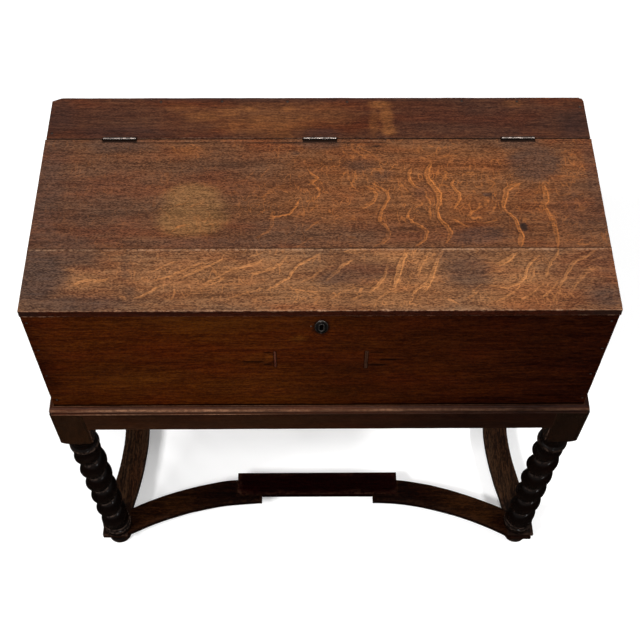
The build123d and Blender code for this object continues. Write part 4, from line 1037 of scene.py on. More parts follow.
def front_board():
    lo, hi = (-419.9, -200.5, 550.0), (419.9, -184.5, 816.0)
    ex, ez = [-404.9, -404.92, 404.9, 404.92, -31.0, -31.02, 31.0, 31.02], [772.0, 771.98]
    for x, w, z0, z1 in SLIPS.values():
        ex += [x - w / 2, x - w / 2 + 0.04, x + w / 2, x + w / 2 - 0.04, x - w / 2 - 1.0, x + w / 2 + 1.0, x - w / 2 - 2.1, x + w / 2 + 2.1]
        ez += [z0, z0 + 0.04, z1, z1 - 0.04, z0 - 1.2, z1 + 1.2]
    ex += list(np.linspace(-3.4, 3.4, 9)) + [-15, -12.5, -10, -7.5, 7.5, 10, 12.5, 15]
    ez += list(np.linspace(777.6, 793.6, 15)) + [561.8, 563.2, 564.6]
    for a, b, z, deep in CRACKS:
        ez += [z - 0.5, z - 0.12, z + 0.12, z + 0.5]
        ex += list(np.linspace(a, b, 9))
    nails = corner_nails(-1)
    for x, z in nails:
        ex += around(x, 3.4)
        ez += around(z, 3.4)

    def carve(p0, p):
        mortise = (np.abs(p0[:, 0]) <= 31.0) & (p0[:, 1] > -195.31) & (p0[:, 2] > 771.99)
        mortise &= p0[:, 1] > -195.3
        p[mortise, 1] = -195.3
        rebate = (np.abs(p0[:, 0]) > 404.91) & (p0[:, 1] > -192.5)
        p[rebate, 1] = -192.5
        face = p0[:, 1] < -200.49
        for x, w, z0, z1 in SLIPS.values():
            hit = face & (np.abs(p0[:, 0] - x) < w / 2 - 0.03) & (p0[:, 2] > z0 + 0.03) & (p0[:, 2] < z1 - 0.03)
            p[hit, 1] = -195.6
        key = face & (
            (np.hypot(p0[:, 0], p0[:, 2] - 790.0) < 3.2)
            | ((np.abs(p0[:, 0]) < 1.6) & (p0[:, 2] > 778.5) & (p0[:, 2] < 790))
        )
        p[key, 1] = -195.45
        for a, b, z, deep in CRACKS:
            t = np.clip((p0[:, 0] - a) / (b - a), 0, 1)
            ends = np.sin(np.pi * t) ** 0.5 * ((p0[:, 0] > a) & (p0[:, 0] < b))
            line = np.abs(p0[:, 2] - z) < 0.2
            p[face & line, 1] += (deep * ends)[face & line]
        for x, z in nails:
            d = np.hypot(p0[:, 0] - x, p0[:, 2] - z)
            p[face, 1] += (0.6 * (1 - step01(d, 2.1, 3.4)))[face]
        return p

    def paint(p0):
        face = p0[:, 1] < -200.4
        q = p0[:, [0, 2, 1]]
        gold = blobs(q, [(-74.5, 704.7, 7, 9, 0, 0.30, 0.7), (-90, 700, 26, 14, 0, 0.18, 0.8), (-150, 800, 200, 26, 0, 0.18, 0.9),
                         (-300, 640, 90, 40, 0, 0.16, 0.9), (-60, 600, 200, 40, 0, 0.12, 0.9), (-32, 757, 12, 9, 0, 0.5, 0.8)], 801)
        # painted shade: darker towards the right, where less light falls, and a painted shadow along the top under the
        # lid; also darker towards the bottom over much of its width
        across = np.interp(p0[:, 0], (-90, 40, 100, 160, 260, 340, 400, 420), (0.0, 0.46, 0.40, 0.44, 0.74, 0.90, 1.0, 1.0))
        across = across + 0.20 * step01(p0[:, 2], 768, 800) + 0.30 * (1 - step01(p0[:, 2], 562, 604)) * step01(np.abs(p0[:, 0] + 120), 120, 260)
        across = across * np.clip(1 + 0.30 * fbm(p0, (90, 20, 22), 817, 3), 0, 1.4)
        # the long strips along the bottom and the top are painted shade, above the lip and under the lid
        dull = blobs(q, [(-424, 690, 34, 160, 0, 0.75, 0.8),
                         (-80, 690, 46, 30, 0, 0.2, 0.8), (110, 700, 50, 34, 0, 0.3, 0.8), (0, 785, 26, 26, 0, 0.45, 0.8),
                         (0, 556, 430, 12, 0, 0.5, 0.8), (0, 812, 430, 10, 0, 0.45, 0.8), (200, 790, 60, 12, 0, 0.5, 0.9)], 811)
        dull = np.clip(np.maximum(dull, across), 0, 1)
        for x, z in nails:
            d = np.hypot(p0[:, 0] - x, p0[:, 2] - z)
            dull = np.maximum(dull, 0.8 * (1 - step01(d, 2.6, 6.0)))
        ink = np.zeros(len(p0))
        for a, b, z, deep in CRACKS:
            d = np.abs(p0[:, 2] - z)
            span = step01(p0[:, 0], a - 2, a + 3) * (1 - step01(p0[:, 0], b - 3, b + 2))
            ink = np.maximum(ink, np.exp(-((d / (0.7 + 0.5 * deep)) ** 2)) * span)
        for x, w, z0, z1 in SLIPS.values():
            dx, dz = np.abs(p0[:, 0] - x) - w / 2, np.maximum(z0 - p0[:, 2], p0[:, 2] - z1)
            ink = np.maximum(ink, 0.9 * (1 - step01(np.maximum(dx, dz), 0.1, 1.9)))
        ring = np.hypot((p0[:, 0] - 1.2) / 14.5, (p0[:, 2] - 785.2) / 22.0)
        # a dark ring round the escutcheon; inside it the floor of the keyhole is painted black as the shade of a deep
        # hole
        ink = np.maximum(ink, np.maximum(0.75 * (1 - step01(ring, 0.70, 1.05)), 1 - step01(ring, 0.45, 0.62)))
        # painted shadow line along the bottom, where the box meets the lip
        ink = np.maximum(ink, 0.9 * (1 - step01(p0[:, 2], 561.8, 564.6)))
        return {"gold": np.where(face, gold, 0), "dull": np.where(face, dull, 0), "ink": np.where(face, ink, 0)}

    board(
        "box_front_plank", "box_front_board", "box", FRONT, lo, hi, (9.0, 4.0, 6.0), rim=(1.8, 1.8, 1.8),
        radius=0.8, seed=71, extra=(ex, [-195.3, -192.5], ez), carve=carve, paint=paint, swell=(0, 0.09, 0),
        raw=lambda q: (q[:, 1] > -200.4).astype(float) * (np.abs(q[:, 0]) < 419),
    )
    for key, (x, w, z0, z1) in SLIPS.items():
        g = 0.12
        board(
            "inlet_slip_" + key, "front_slip_" + key, "box", SLIP, (x - w / 2 + g, -200.62, z0 + g),
            (x + w / 2 - g, -195.6, z1 - g), (1.0, 1.5, 3.0), rim=(0.8, 0.8, 0.8), radius=0.35, seed=75, swell=(0, 0.05, 0),
            paint=lambda q, key=key: {"gold": np.full(len(q), 0.85 if key == "right" else 0.0)},
        )


def back_board():
    lo, hi = (-419.9, 184.5, 550.0), (419.9, 200.5, 816.0)
    nails = corner_nails(1)
    ex, ez = [-404.9, -404.92, 404.9, 404.92], []
    for x, z in nails:
        ex += around(x, 3.4)
        ez += around(z, 3.4)

    def carve(p0, p):
        rebate = (np.abs(p0[:, 0]) > 404.91) & (p0[:, 1] < 192.5)
        p[rebate, 1] = 192.5
        face = p0[:, 1] > 200.49
        for x, z in nails:
            d = np.hypot(p0[:, 0] - x, p0[:, 2] - z)
            p[face, 1] -= (0.6 * (1 - step01(d, 2.1, 3.4)))[face]
        return p

    def paint(p0):
        face = p0[:, 1] > 200.4
        q = p0[:, [0, 2, 1]]
        dull = blobs(q, [(-200, 690, 190, 110, 0, 0.35, 0.9), (180, 610, 200, 50, 0, 0.3, 0.9), (300, 770, 120, 40, 0, 0.35, 0.9)], 911)
        for x, z in nails:
            d = np.hypot(p0[:, 0] - x, p0[:, 2] - z)
            dull = np.maximum(dull, 0.8 * (1 - step01(d, 2.6, 6.0)))
        return {"dull": np.where(face, dull, 0)}

    board(
        "box_back_plank", "box_back_board", "box", BACK, lo, hi, (9.0, 4.0, 7.0), rim=(1.8, 1.8, 1.8),
        radius=0.8, seed=81, extra=(ex, [192.5], ez), carve=carve, paint=paint, swell=(0, 0.12, 0),
        raw=lambda q: (q[:, 1] < 200.4).astype(float) * (np.abs(q[:, 0]) < 419),
    )


SLIP = oak(
    "oak_slips", "z", (0.026, 0.0064, 0.0030), (0.048, 0.0135, 0.0070), (0.082, 0.027, 0.0150), (0.3, 0.4, 3.3),
    rough=0.45, gloss=0.05, gold=(0.0180, 0.0085, 0.0032), line=None, rub=(0.10, 0.042, 0.022), bump=0.3,
)
BACK = oak(
    "oak_back", "x", (0.0205, 0.0042, 0.0010), (0.0370, 0.0086, 0.0021), (0.063, 0.0170, 0.0048), (15.2, 3.3, 1.9),
    rough=0.44, gloss=0.08, gold=None, line=None, dull=(0.0120, 0.0036, 0.0015),
    rub=(0.14, 0.06, 0.03), patina=(0.7, 0.6, 0.66), bump=0.35, streak=0.9, speck=0.8,
)
front_board()
back_board()
for side, sx in (("left", -1), ("right", 1)):
    x0, x1 = sorted((sx * 404.9, sx * 419.9))
    board(
        "box_end_plank_" + side, "box_end_" + side, "box", SIDE, (x0, -192.5, 550.0), (x1, 192.5, 816.0),
        (4.0, 7.0, 7.0), radius=0.55, seed=91 + sx, swell=(0.1, 0, 0),
        raw=lambda q, sx=sx: (sx * q[:, 0] < 419.8).astype(float),
        # painted shade: the strip along the bottom, just above the lip, is darker
        paint=lambda q, sx=sx: {"dull": blobs(q[:, [1, 2, 0]], [(0, 560, 200, 20, 0, 0.4, 0.8), (-60 * sx, 700, 90, 70, 0, 0.3, 0.9)], 921 + sx) * (sx * q[:, 0] > 419.8)},
    )
for name, y0, y1 in (("front", -200.5, -12.0), ("rear", -11.4, 200.5)):
    board(
        "bottom_plank_" + name, "base_board_" + name, "box", INSIDE, (-419.9, y0, 538.0), (419.9, y1, 550.0),
        (12.0, 8.0, 4.0), radius=0.5, seed=95, swell=(0, 0, 0), rim=(1.3, 1.3, 1.3),
    )


# ============================================================ turned legs
def arc_points(a, m, b, n=8):
    """Points on the circle through a, m and b, given as (r, z)."""
    ax, ay = a
    bx, by = m
    cx, cy = b
    d = 2 * (ax * (by - cy) + bx * (cy - ay) + cx * (ay - by))
    ux = ((ax**2 + ay**2) * (by - cy) + (bx**2 + by**2) * (cy - ay) + (cx**2 + cy**2) * (ay - by)) / d
    uy = ((ax**2 + ay**2) * (cx - bx) + (bx**2 + by**2) * (ax - cx) + (cx**2 + cy**2) * (bx - ax)) / d
    r = math.hypot(ax - ux, ay - uy)
    t0, tm, t1 = (math.atan2(y - uy, x - ux) for x, y in (a, m, b))
    while tm - t0 > math.pi:
        tm -= 2 * math.pi
    while tm - t0 < -math.pi:
        tm += 2 * math.pi
    while t1 - tm > math.pi:
        t1 -= 2 * math.pi
    while t1 - tm < -math.pi:
        t1 += 2 * math.pi
    return [(ux + r * math.cos(t), uy + r * math.sin(t)) for t in np.linspace(t0, t1, n)]


TURNING = (
    [(25.3, 40.0), (26.2, 41.0)]
    + arc_points((26.8, 41.8), (28.0, 49.5), (26.7, 57.2), 9)
    + [(25.6, 58.3), (24.9, 59.3), (25.2, 60.2)]
    + arc_points((25.6, 60.8), (26.7, 64.3), (25.6, 67.8), 7)
    + [(24.8, 68.8), (24.3, 70.2), (24.7, 73.0), (25.5, 77.5), (26.2, 83.0), (26.5, 90.0), (26.5, 358.0), (26.1, 366.0),
       (24.8, 371.5), (23.0, 376.5), (21.6, 381.0), (21.2, 382.8), (22.2, 384.0), (23.0, 384.8)]
    + arc_points((23.4, 385.2), (25.8, 392.5), (23.4, 399.8), 12)
    + [(22.2, 400.9), (21.3, 401.7), (20.8, 403.0)]
    + arc_points((20.6, 404.5), (19.8, 414.0), (23.8, 426.0), 10)
    + [(25.4, 430.8), (26.6, 434.6), (27.2, 436.2)]
)
BLOCK_LOW = 436.2
# how far each leg stands out from its plan, by height: the worn joints let them spread at the top and close at the foot
LEAN = {
    "front_left": ((0, 440, 538), (-5.4, 4.9, 6.0)),
    "front_right": ((0, 380, 440, 538), (-4.4, 3.6, 6.3, 8.6)),
    "rear_left": ((0, 538), (-4.3, 4.2)),
    "rear_right": ((0, 538), (-4.6, 5.0)),
}
# strand of each leg: outer radius, depth of the groove, pitch and the height of a groove at its front
STRAND = {
    "front_left": (26.6, 13.2, 54.6, 279.1), "front_right": (26.3, 13.2, 56.7, 280.7),
    "rear_left": (26.5, 13.0, 55.4, 276.0), "rear_right": (26.5, 13.0, 55.8, 284.0),
}


def lean_x(key, z):
    hs, xs = LEAN[key]
    return (-1 if "left" in key else 1) * np.interp(z, hs, xs)


def smooth_min(a, b, k):
    h = np.clip(0.5 + 0.5 * (b - a) / k, 0, 1)
    return b * (1 - h) + a * h - k * h * (1 - h)


def leg(key, sx, sy, bearing, seed):
    n = 120
    angles = np.linspace(0, 2 * np.pi, n, endpoint=False)
    extra = np.concatenate([np.radians(45 + 90 * k + np.array([-2.4, -1.5, -0.75, 0, 0.75, 1.5, 2.4])) for k in range(4)])
    keep = np.abs(angles[:, None] - extra[None, :]).min(1) > math.radians(0.6)
    angles = np.sort(np.concatenate([angles[keep], extra]))
    prof = np.array(TURNING)
    zs = [prof[:, 1], np.arange(64, 382, 1.25), np.arange(BLOCK_LOW, 452, 0.9), np.arange(452, 534, 6.0), [534, 536, 537, 537.5, 537.85, 538.0]]
    zs = np.unique(np.round(np.concatenate(zs), 4))
    z, a = np.meshgrid(zs, angles, indexing="ij")
    flat = np.stack([(LEG_X * sx + 26 * np.cos(a)).ravel(), (LEG_Y * sy + 26 * np.sin(a)).ravel(), z.ravel()], 1)
    env = np.interp(z, prof[:, 1], prof[:, 0])
    crest_r, depth, pitch, low = STRAND[key]
    env = np.where((z > 74) & (z < 370), env + crest_r - 26.5, env)
    deep = depth * step01(z, 68, 90) * (1 - step01(z, 369, 383))
    deep = deep * (1 + 0.03 * fbm(flat, 40, seed, 2).reshape(z.shape))
    wander = 0.6 * fbm(flat * np.array([0, 0, 1]), (1, 1, 46), seed + 2, 2).reshape(z.shape)
    t = (a - bearing) / (2 * np.pi) - (z + wander - low) / pitch
    t = t - np.floor(t)
    s = np.abs(2 * t - 1)
    # a valley of narrow V section between full round strands, its lower flank a little flatter
    groove = 0.88 * s**1.6 + 0.12 * step01(s, 0.74, 1.0)
    r = env - deep * groove
    # the block: square above, its corners taken off below by the turning
    c = np.maximum(np.abs(np.cos(a)), np.abs(np.sin(a)))
    square = 27.45 / c
    square = smooth_min(square, 37.9 + 0 * a, 1.1)
    shoulder_prof = np.array(arc_points((27.9, BLOCK_LOW), (35.2, 439.0), (39.4, 446.5), 14))
    shoulder = np.interp(z, shoulder_prof[:, 1], shoulder_prof[:, 0], right=60)
    upper = np.where(z >= BLOCK_LOW, smooth_min(square, shoulder, 0.5), 0)
    top_round = np.clip(z - 537.4, 0, 0.6)
    upper = upper - np.where(z > 537.4, 0.6 - np.sqrt(np.maximum(0.36 - top_round**2, 0)), 0)
    r = np.where(z >= BLOCK_LOW, upper, r)
    uneven = 0.16 * fbm(flat, (16, 16, 11), seed + 4, 2).reshape(z.shape)
    r = r + np.where(z < BLOCK_LOW, uneven * (0.4 + 0.6 * (deep > 1)), 0.0)
    x = LEG_X * sx + r * np.cos(a) + lean_x(key, z)
    y = LEG_Y * sy + r * np.sin(a)
    pts = np.stack([x.ravel(), y.ravel(), z.ravel()], 1)
    nz, na = z.shape
    idx = np.arange(nz * na).reshape(nz, na)
    nxt = np.roll(idx, -1, axis=1)
    quads = np.stack([idx[:-1], nxt[:-1], nxt[1:], idx[1:]], -1).reshape(-1, 4)
    faces = [tuple(q) for q in quads] + [tuple(idx[0][::-1]), tuple(idx[-1])]
    crest = (1 - step01(s, 0.05, 0.5)) * (deep > 3)
    # painted highlight: a thin light line on the flank that looks up, just under each groove
    lip = np.exp(-(((t - 0.055) / 0.022) ** 2)) * (deep > 3)
    wear = (0.06 * crest + 0.75 * lip) * np.clip(0.6 + 0.7 * fbm(flat, 18, seed + 6, 2).reshape(z.shape), 0, 1)
    # painted highlights on the upper shoulders of the two rings at the foot and of the ring under the block
    bead_highlights = np.exp(-(((z - 56.0) / 1.5) ** 2)) + 0.8 * np.exp(-(((z - 66.8) / 1.3) ** 2)) + 0.6 * np.exp(-(((z - 396.0) / 2.2) ** 2))
    # the painted highlights are dimmer on the right-hand legs
    wear = wear * (0.34 if sx > 0 else 0.78)
    wear = np.maximum(wear, (0.62 if sx > 0 else 1.0) * bead_highlights * np.clip(0.6 + 0.8 * fbm(flat, 16, seed + 7, 2).reshape(z.shape), 0, 1))
    edge = np.exp(-(((c - 0.7071) / 0.011) ** 2)) * (z > 442)
    wear = np.maximum(wear, 0.75 * edge * np.clip(0.5 + 0.8 * fbm(flat, 25, seed + 8, 2).reshape(z.shape), 0, 1))
    # painted shade in the bottoms of the grooves
    dull = np.where(z < BLOCK_LOW, 0.9 * step01(s, 0.86, 1.0) * (deep > 2), 0)
    gold = step01(z, BLOCK_LOW - 3, BLOCK_LOW + 4) * (0.85 if sx < 0 else 0.36)
    attrs = {
        "wear": wear.ravel(), "dull": dull.ravel(), "gold": gold.ravel(), "ink": np.zeros(nz * na), "raw": np.zeros(nz * na),
    }
    ob = make_mesh("turned_leg_" + key, pts, faces, attrs, sharp=50.0)
    settle(ob, "stand", LEG, ("leg_" + key,))


LEG_X, LEG_Y = 397.6, 178.2
FRONTWARD = -math.pi / 2
LEGS = {
    "front_left": (-1, -1, FRONTWARD), "front_right": (1, -1, FRONTWARD),
    "rear_left": (-1, 1, FRONTWARD + 2.1), "rear_right": (1, 1, FRONTWARD - 1.3),
}
for i, (key, (sx, sy, bearing)) in enumerate(LEGS.items()):
    leg(key, sx, sy, bearing, 1000 + 37 * i)


def lathe(name, node, body, material, centre, profile, n=96, seed=5, uneven=0.1):
    prof = np.array(profile)
    a = np.linspace(0, 2 * np.pi, n, endpoint=False)
    rr, aa = np.meshgrid(prof[:, 0], a, indexing="ij")
    zz = np.repeat(prof[:, 1][:, None], n, 1)
    flat = np.stack([(rr * np.cos(aa) + centre[0]).ravel(), (rr * np.sin(aa) + centre[1]).ravel(), zz.ravel()], 1)
    rr = rr + (uneven * fbm(flat, 14, seed, 2)).reshape(rr.shape) * (zz > 1.0)
    pts = np.stack([(centre[0] + rr * np.cos(aa)).ravel(), (centre[1] + rr * np.sin(aa)).ravel(), zz.ravel()], 1)
    m = len(prof)
    idx = np.arange(m * n).reshape(m, n)
    nxt = np.roll(idx, -1, axis=1)
    quads = np.stack([idx[:-1], nxt[:-1], nxt[1:], idx[1:]], -1).reshape(-1, 4)
    faces = [tuple(q) for q in quads] + [tuple(idx[0][::-1]), tuple(idx[-1])]
    zero = np.zeros(len(pts))
    high = np.clip((rr - prof[:, 0].max() + 1.6) / 1.6, 0, 1).ravel() * 0.25
    attrs = {"wear": high, "dull": zero, "gold": zero, "ink": zero, "raw": zero}
    ob = make_mesh(name, pts, faces, attrs, sharp=50.0)
    return settle(ob, body, material, (node,))


FOOT = (
    [(14.6, 0.0), (15.4, 0.1)] + arc_points((16.0, 0.3), (19.0, 1.6), (21.0, 4.6), 7)
    + arc_points((21.0, 4.6), (22.6, 10.5), (20.3, 18.0), 14)[1:] + arc_points((20.3, 18.0), (18.6, 20.8), (18.0, 24.9), 7)[1:]
)
for i, (key, (sx, sy, bearing)) in enumerate(LEGS.items()):
    lathe(
        "turned_foot_" + key, "bun_foot_" + key, "stand", LEG,
        (sx * LEG_X + lean_x(key, 10.0), sy * (LEG_Y + {"front_left": 3.6, "front_right": 7.0}.get(key, 3.0))), FOOT, seed=40 + i,
    )


# ============================================================ apron and lip
for key, sy in (("front", -1), ("rear", 1)):
    y0, y1 = sorted((sy * 205.62, sy * 183.7))
    board(
        "rail_" + key, "apron_rail_" + key, "stand", STAND, (-380.0, y0, 487.0), (381.5, y1, 538.0),
        (7.0, 5.0, 4.0), radius=0.75, seed=121 + sy, swell=(0, 0.10, 0),
        raw=lambda q, sy=sy: (sy * q[:, 1] < 205.5).astype(float) * 0.0,
        paint=lambda q, sy=sy: {
            # painted shade: darker towards the right, and a dark strip along the top under the lip
            "dull": np.maximum(0.85 * step01(q[:, 0], -170, 330), blobs(q[:, [0, 2, 1]], [(0, 536, 400, 8, 0, 0.5, 0.8)], 131)) * (sy * q[:, 1] > 205)
        },
    )
for key, sx in (("left", -1), ("right", 1)):
    x0, x1 = sorted((sx * 425.02, sx * 403.1))
    board(
        "rail_" + key, "apron_rail_" + key, "stand", STAND_Y, (x0, -150.7, 487.0), (x1, 150.7, 538.0),
        (5.0, 7.0, 4.0), radius=0.75, seed=125 + sx, swell=(0.10, 0, 0),
        # painted shade: a dark strip along the top under the lip
        paint=lambda q, sx=sx: {"dull": blobs(q[:, [1, 2, 0]], [(0, 536, 200, 8, 0, 0.7, 0.8)], 133) * (sx * q[:, 0] > 424)},
    )


def lip_profile():
    """Section of the lip as (distance from the box, height above the rail)."""
    p = [(0.5, 0.0), (0.5, 8.0), (0.5, 16.0), (0.5, 21.3), (0.62, 21.7), (0.95, 21.92), (1.5, 22.0), (2.4, 22.0), (3.0, 22.0)]
    p += arc_points((3.2, 22.0), (6.9, 19.4), (7.9, 15.0), 10)
    p += arc_points((7.9, 15.0), (7.45, 10.9), (6.0, 9.0), 8)[1:]
    p += arc_points((5.9, 8.8), (5.0, 6.9), (5.6, 4.9), 6)[1:]
    p += arc_points((5.7, 4.7), (6.95, 2.9), (6.3, 0.9), 8)[1:]
    p += [(6.0, 0.45), (5.6, 0.0), (3.0, 0.0)]
    return np.array(p)


def lip(key, half, face, turn, material, seed):
    prof = lip_profile()
    m = len(prof)
    n = int(2 * half / 6) + 1
    s = np.linspace(-1, 1, n)
    d = prof[None, :, 0].repeat(n, 0)
    h = prof[None, :, 1].repeat(n, 0)
    grow = step01(d, 1.0, 6.0) * 1.6
    x = s[:, None] * (half + d)
    flat = np.stack([x.ravel() + 700 * seed, (d * 3).ravel(), h.ravel()], 1)
    bumpy = (0.16 * fbm(flat, (60, 9, 9), seed, 3) + 0.12 * fbm(flat, (11, 5, 5), seed + 3, 2)).reshape(d.shape)
    outer = step01(d, 2.5, 5.5)
    dd = d - np.abs(bumpy) * outer
    x = s[:, None] * (half + dd)
    # the right-hand moulding stands a little wider than the others
    if key in ("front", "rear"):
        x = x + grow * (s[:, None] > 0.5 if key == "front" else -(s[:, None] < -0.5).astype(float)) * np.clip((np.abs(x) - 300) / 120, 0, 1)
    y = -(face + dd + (grow if key == "right" else 0))
    c, sn = math.cos(turn), math.sin(turn)
    px, py = x * c - y * sn, x * sn + y * c
    pts = np.stack([px.ravel(), py.ravel(), (538.0 + h - 0.08 * (h > 21)).ravel()], 1)
    idx = np.arange(n * m).reshape(n, m)
    nxt = np.roll(idx, -1, axis=1)
    quads = np.stack([idx[:-1], nxt[:-1], nxt[1:], idx[1:]], -1).reshape(-1, 4)
    faces = [tuple(q) for q in quads] + [tuple(idx[0]), tuple(idx[-1][::-1])]
    # the wear on the nose and the bead is partly real wear and partly painted highlight
    nose = np.exp(-(((h - 16.6) / 3.3) ** 2)) * step01(d, 5.5, 7.4)
    bead = np.exp(-(((h - 2.6) / 1.6) ** 2)) * step01(d, 6.2, 6.9)
    # painted highlight along the top inner arris, where the lip meets the box
    inside = np.exp(-(((d - 0.9) / 0.7) ** 2)) * (h > 21.2)
    wear = (0.85 * nose + 0.85 * bead + 0.55 * inside).ravel() * np.clip(0.6 + 0.8 * fbm(flat, (45, 9, 9), seed + 5, 3), 0, 1)
    # painted shade in the hollow under the nose
    quirk_shade = np.exp(-(((h - 8.0) / 3.4) ** 2)) * (d > 4.5) * (d < 7.7)
    # painted shade on the face that lies against the box
    inner = (d < 0.55) * 1.0
    flat_top = 0.35 * (h > 20.5) * (d < 5.0)
    middle = step01(px.ravel(), -200, 30)
    low = (np.exp(-(((h - 2.6) / 2.6) ** 2)) * (d > 4.5)).ravel()
    # painted shade: darker towards the right, a little less on the nose, and on the bead from the middle on
    rightward_shade = np.maximum(step01(px.ravel(), 0, 300) * np.where((np.abs(h - 17.0) < 4.0) & (d > 5.0), 0.88, 1.0).ravel(), 0.93 * middle * low)
    # the wear and the painted highlights fade towards the right, and on the bead from the middle on
    wear = wear * (1 - 0.38 * middle) * (1 - 0.52 * step01(px.ravel(), 60, 300)) * (1 - 0.85 * middle * low)
    dull = np.maximum(np.clip(0.95 * quirk_shade + 0.8 * inner + flat_top, 0, 1).ravel(), rightward_shade)
    zero = np.zeros(n * m)
    ob = make_mesh("lip_" + key, pts, faces, {"wear": wear, "dull": dull, "gold": zero, "ink": zero, "raw": zero}, sharp=50.0)
    settle(ob, "stand", material, ("lip_moulding_" + key,))


lip("front", 419.9, 200.5, 0.0, LIP, 3)
lip("rear", 419.9, 200.5, math.pi, LIP, 5)
lip("left", 200.5, 419.9, -math.pi / 2, LIP_Y, 7)
lip("right", 200.5, 419.9, math.pi / 2, LIP_Y, 9)


# ============================================================ carried-over CAD shapes, softened
def aged(node, body, material, name, bevel=0.8, target=7.0, seed=3, swell=0.06, wear_reach=2.2, paint=None, shift=None):
    """A new piece with the node's shape, its arrises rounded and its faces divided so that wear can follow the edges."""
    me = NODES[node].data.copy()
    bm = bmesh.new()
    bm.from_mesh(me)
    bmesh.ops.remove_doubles(bm, verts=bm.verts, dist=0.00002)
    bmesh.ops.dissolve_limit(bm, angle_limit=math.radians(0.6), verts=bm.verts, edges=bm.edges)
    sharp = [e for e in bm.edges if len(e.link_faces) == 2 and e.calc_face_angle(0) > math.radians(32)]
    segs = [(np.array(e.verts[0].co) * 1000, np.array(e.verts[1].co) * 1000) for e in sharp]
    if bevel > 0:
        bmesh.ops.bevel(
            bm, geom=sharp, offset=bevel * MM, offset_type="OFFSET", segments=3, profile=0.5, affect="EDGES",
            clamp_overlap=True, miter_outer="ARC",
        )
    bmesh.ops.triangulate(bm, faces=[f for f in bm.faces if len(f.verts) > 4])
    for _ in range(7):
        long = [e for e in bm.edges if e.calc_length() > target * 1.6 * MM]
        if not long:
            break
        bmesh.ops.subdivide_edges(bm, edges=long, cuts=1, use_grid_fill=False)
        bmesh.ops.triangulate(bm, faces=[f for f in bm.faces if len(f.verts) > 4])
    bm.normal_update()
    out = bpy.data.meshes.new(name)
    bm.to_mesh(out)
    bm.free()
    bpy.data.meshes.remove(me)
    n = len(out.vertices)
    co = np.zeros(n * 3, np.float32)
    out.vertices.foreach_get("co", co)
    p = co.reshape(-1, 3).astype(float) * 1000
    best = np.full(n, 1e9)
    for a, b in segs:
        d = b - a
        l2 = max(float(d @ d), 1e-9)
        t = np.clip(((p - a) @ d) / l2, 0, 1)
        best = np.minimum(best, np.linalg.norm(p - (a + t[:, None] * d), axis=1))
    wear = np.exp(-((best / wear_reach) ** 2)) * np.clip(0.55 + 0.7 * fbm(p, 20, seed + 3, 3), 0, 1)
    attrs = {"wear": wear, "raw": np.zeros(n), "gold": np.zeros(n), "dull": np.zeros(n), "ink": np.zeros(n)}
    if paint:
        attrs.update(paint(p))
    for key, values in attrs.items():
        at = out.attributes.new(key, "FLOAT", "POINT")
        at.data.foreach_set("value", np.asarray(values, np.float32))
    if shift:
        out.vertices.foreach_set("co", ((p + shift(p)) * MM).astype(np.float32).ravel())
        out.update()
    out.shade_smooth()
    out.set_sharp_from_angle(angle=math.radians(40))
    ob = bpy.data.objects.new(name, out)
    bpy.context.scene.collection.objects.link(ob)
    return settle(ob, body, material, (node,))


def stretcher_paint(p):
    """Golden towards the legs, darker towards the middle."""
    near = step01(np.abs(p[:, 0]), 150, 330) * (p[:, 2] > 39.0) * (1 + 0.35 * step01(p[:, 0], 150, 230) - 1.2 * step01(p[:, 0], 335, 372))
    inner = 0.97 * (1 - step01(np.abs(p[:, 0]), 165, 320))
    return {"gold": near * np.clip(0.30 + 0.5 * fbm(p, (40, 14, 14), 8, 3), 0, 1), "dull": np.maximum(0.75 * step01(40.5 - p[:, 2], 2.0, 9.0), inner)}


def side_paint(p):
    return {"dull": np.maximum(0.75 * step01(40.5 - p[:, 2], 2.0, 9.0), 0.97 * step01(np.abs(p[:, 1]), 110, 172 - 14 * (p[:, 0] > 0)))}


def corner_shift(dx, dy):
    """Moves the corner of a board at the front leg on x's side by dx, dy and lets the rest of the board follow softly."""

    def shift(p):
        out = np.zeros_like(p)
        w = step01(np.abs(p[:, 0]), 340, 400) * step01(-p[:, 1], 110, 190)
        out[:, 1] = dy * w
        out[:, 0] = dx * w * step01(np.abs(p[:, 0]), 395, 424)
        return out

    return shift


# how far the front boards lie off their plan, in mm: by |x| the front edge and the rear edge move in y, by y the side boards in x
FRONT_BOARDS = {
    "left": (
        (60, 115, 135, 155, 176, 196, 216, 236, 256, 275, 294, 314, 334), (-1.2, -1.5, -2.4, -2.8, -2.6, -2.6, -3.1, -3.3, -2.8, -3.2, -2.7, -2.2, -1.7),
        (1.9, 2.0, 2.2, 3.0, 3.7, 3.3, 2.4, 1.9, 1.3, 1.1, 1.0, 1.0, 0.9),
    ),
    "right": (
        (60, 126, 146, 166, 186, 206, 226, 246, 266, 285, 305, 324, 344), (-1.2, -2.1, -2.4, -2.8, -3.4, -4.1, -5.0, -5.8, -6.0, -6.1, -6.4, -6.6, -6.5),
        (1.6, 1.7, 1.7, 1.4, 0.7, -0.2, -0.6, -1.6, -2.3, -3.1, -3.5, -3.9, -4.1),
    ),
}
SIDE_BOARDS = {
    "left": ((-146, -136, -127, -106, -84, -66, -45, -30, -16, 0, 20, 45, 80), (0, 0.9, 2.0, 2.8, 3.6, 3.7, 3.7, 3.7, 3.3, 2.5, 1.9, 0.8, 0)),
    "right": ((-146, -136, -127, -110, -88, -70, -57, -38, -20, -6, 7, 20, 45), (0, 1.3, 2.7, 3.2, 3.3, 3.7, 3.3, 2.9, 2.1, 1.5, 1.0, 0.2, 0)),
}
ARC_CENTRE = (117.0, 641.2)


def side_drift(lr, y):
    ys, ds = SIDE_BOARDS[lr]
    return (-1 if lr == "left" else 1) * np.interp(y, ys, ds)


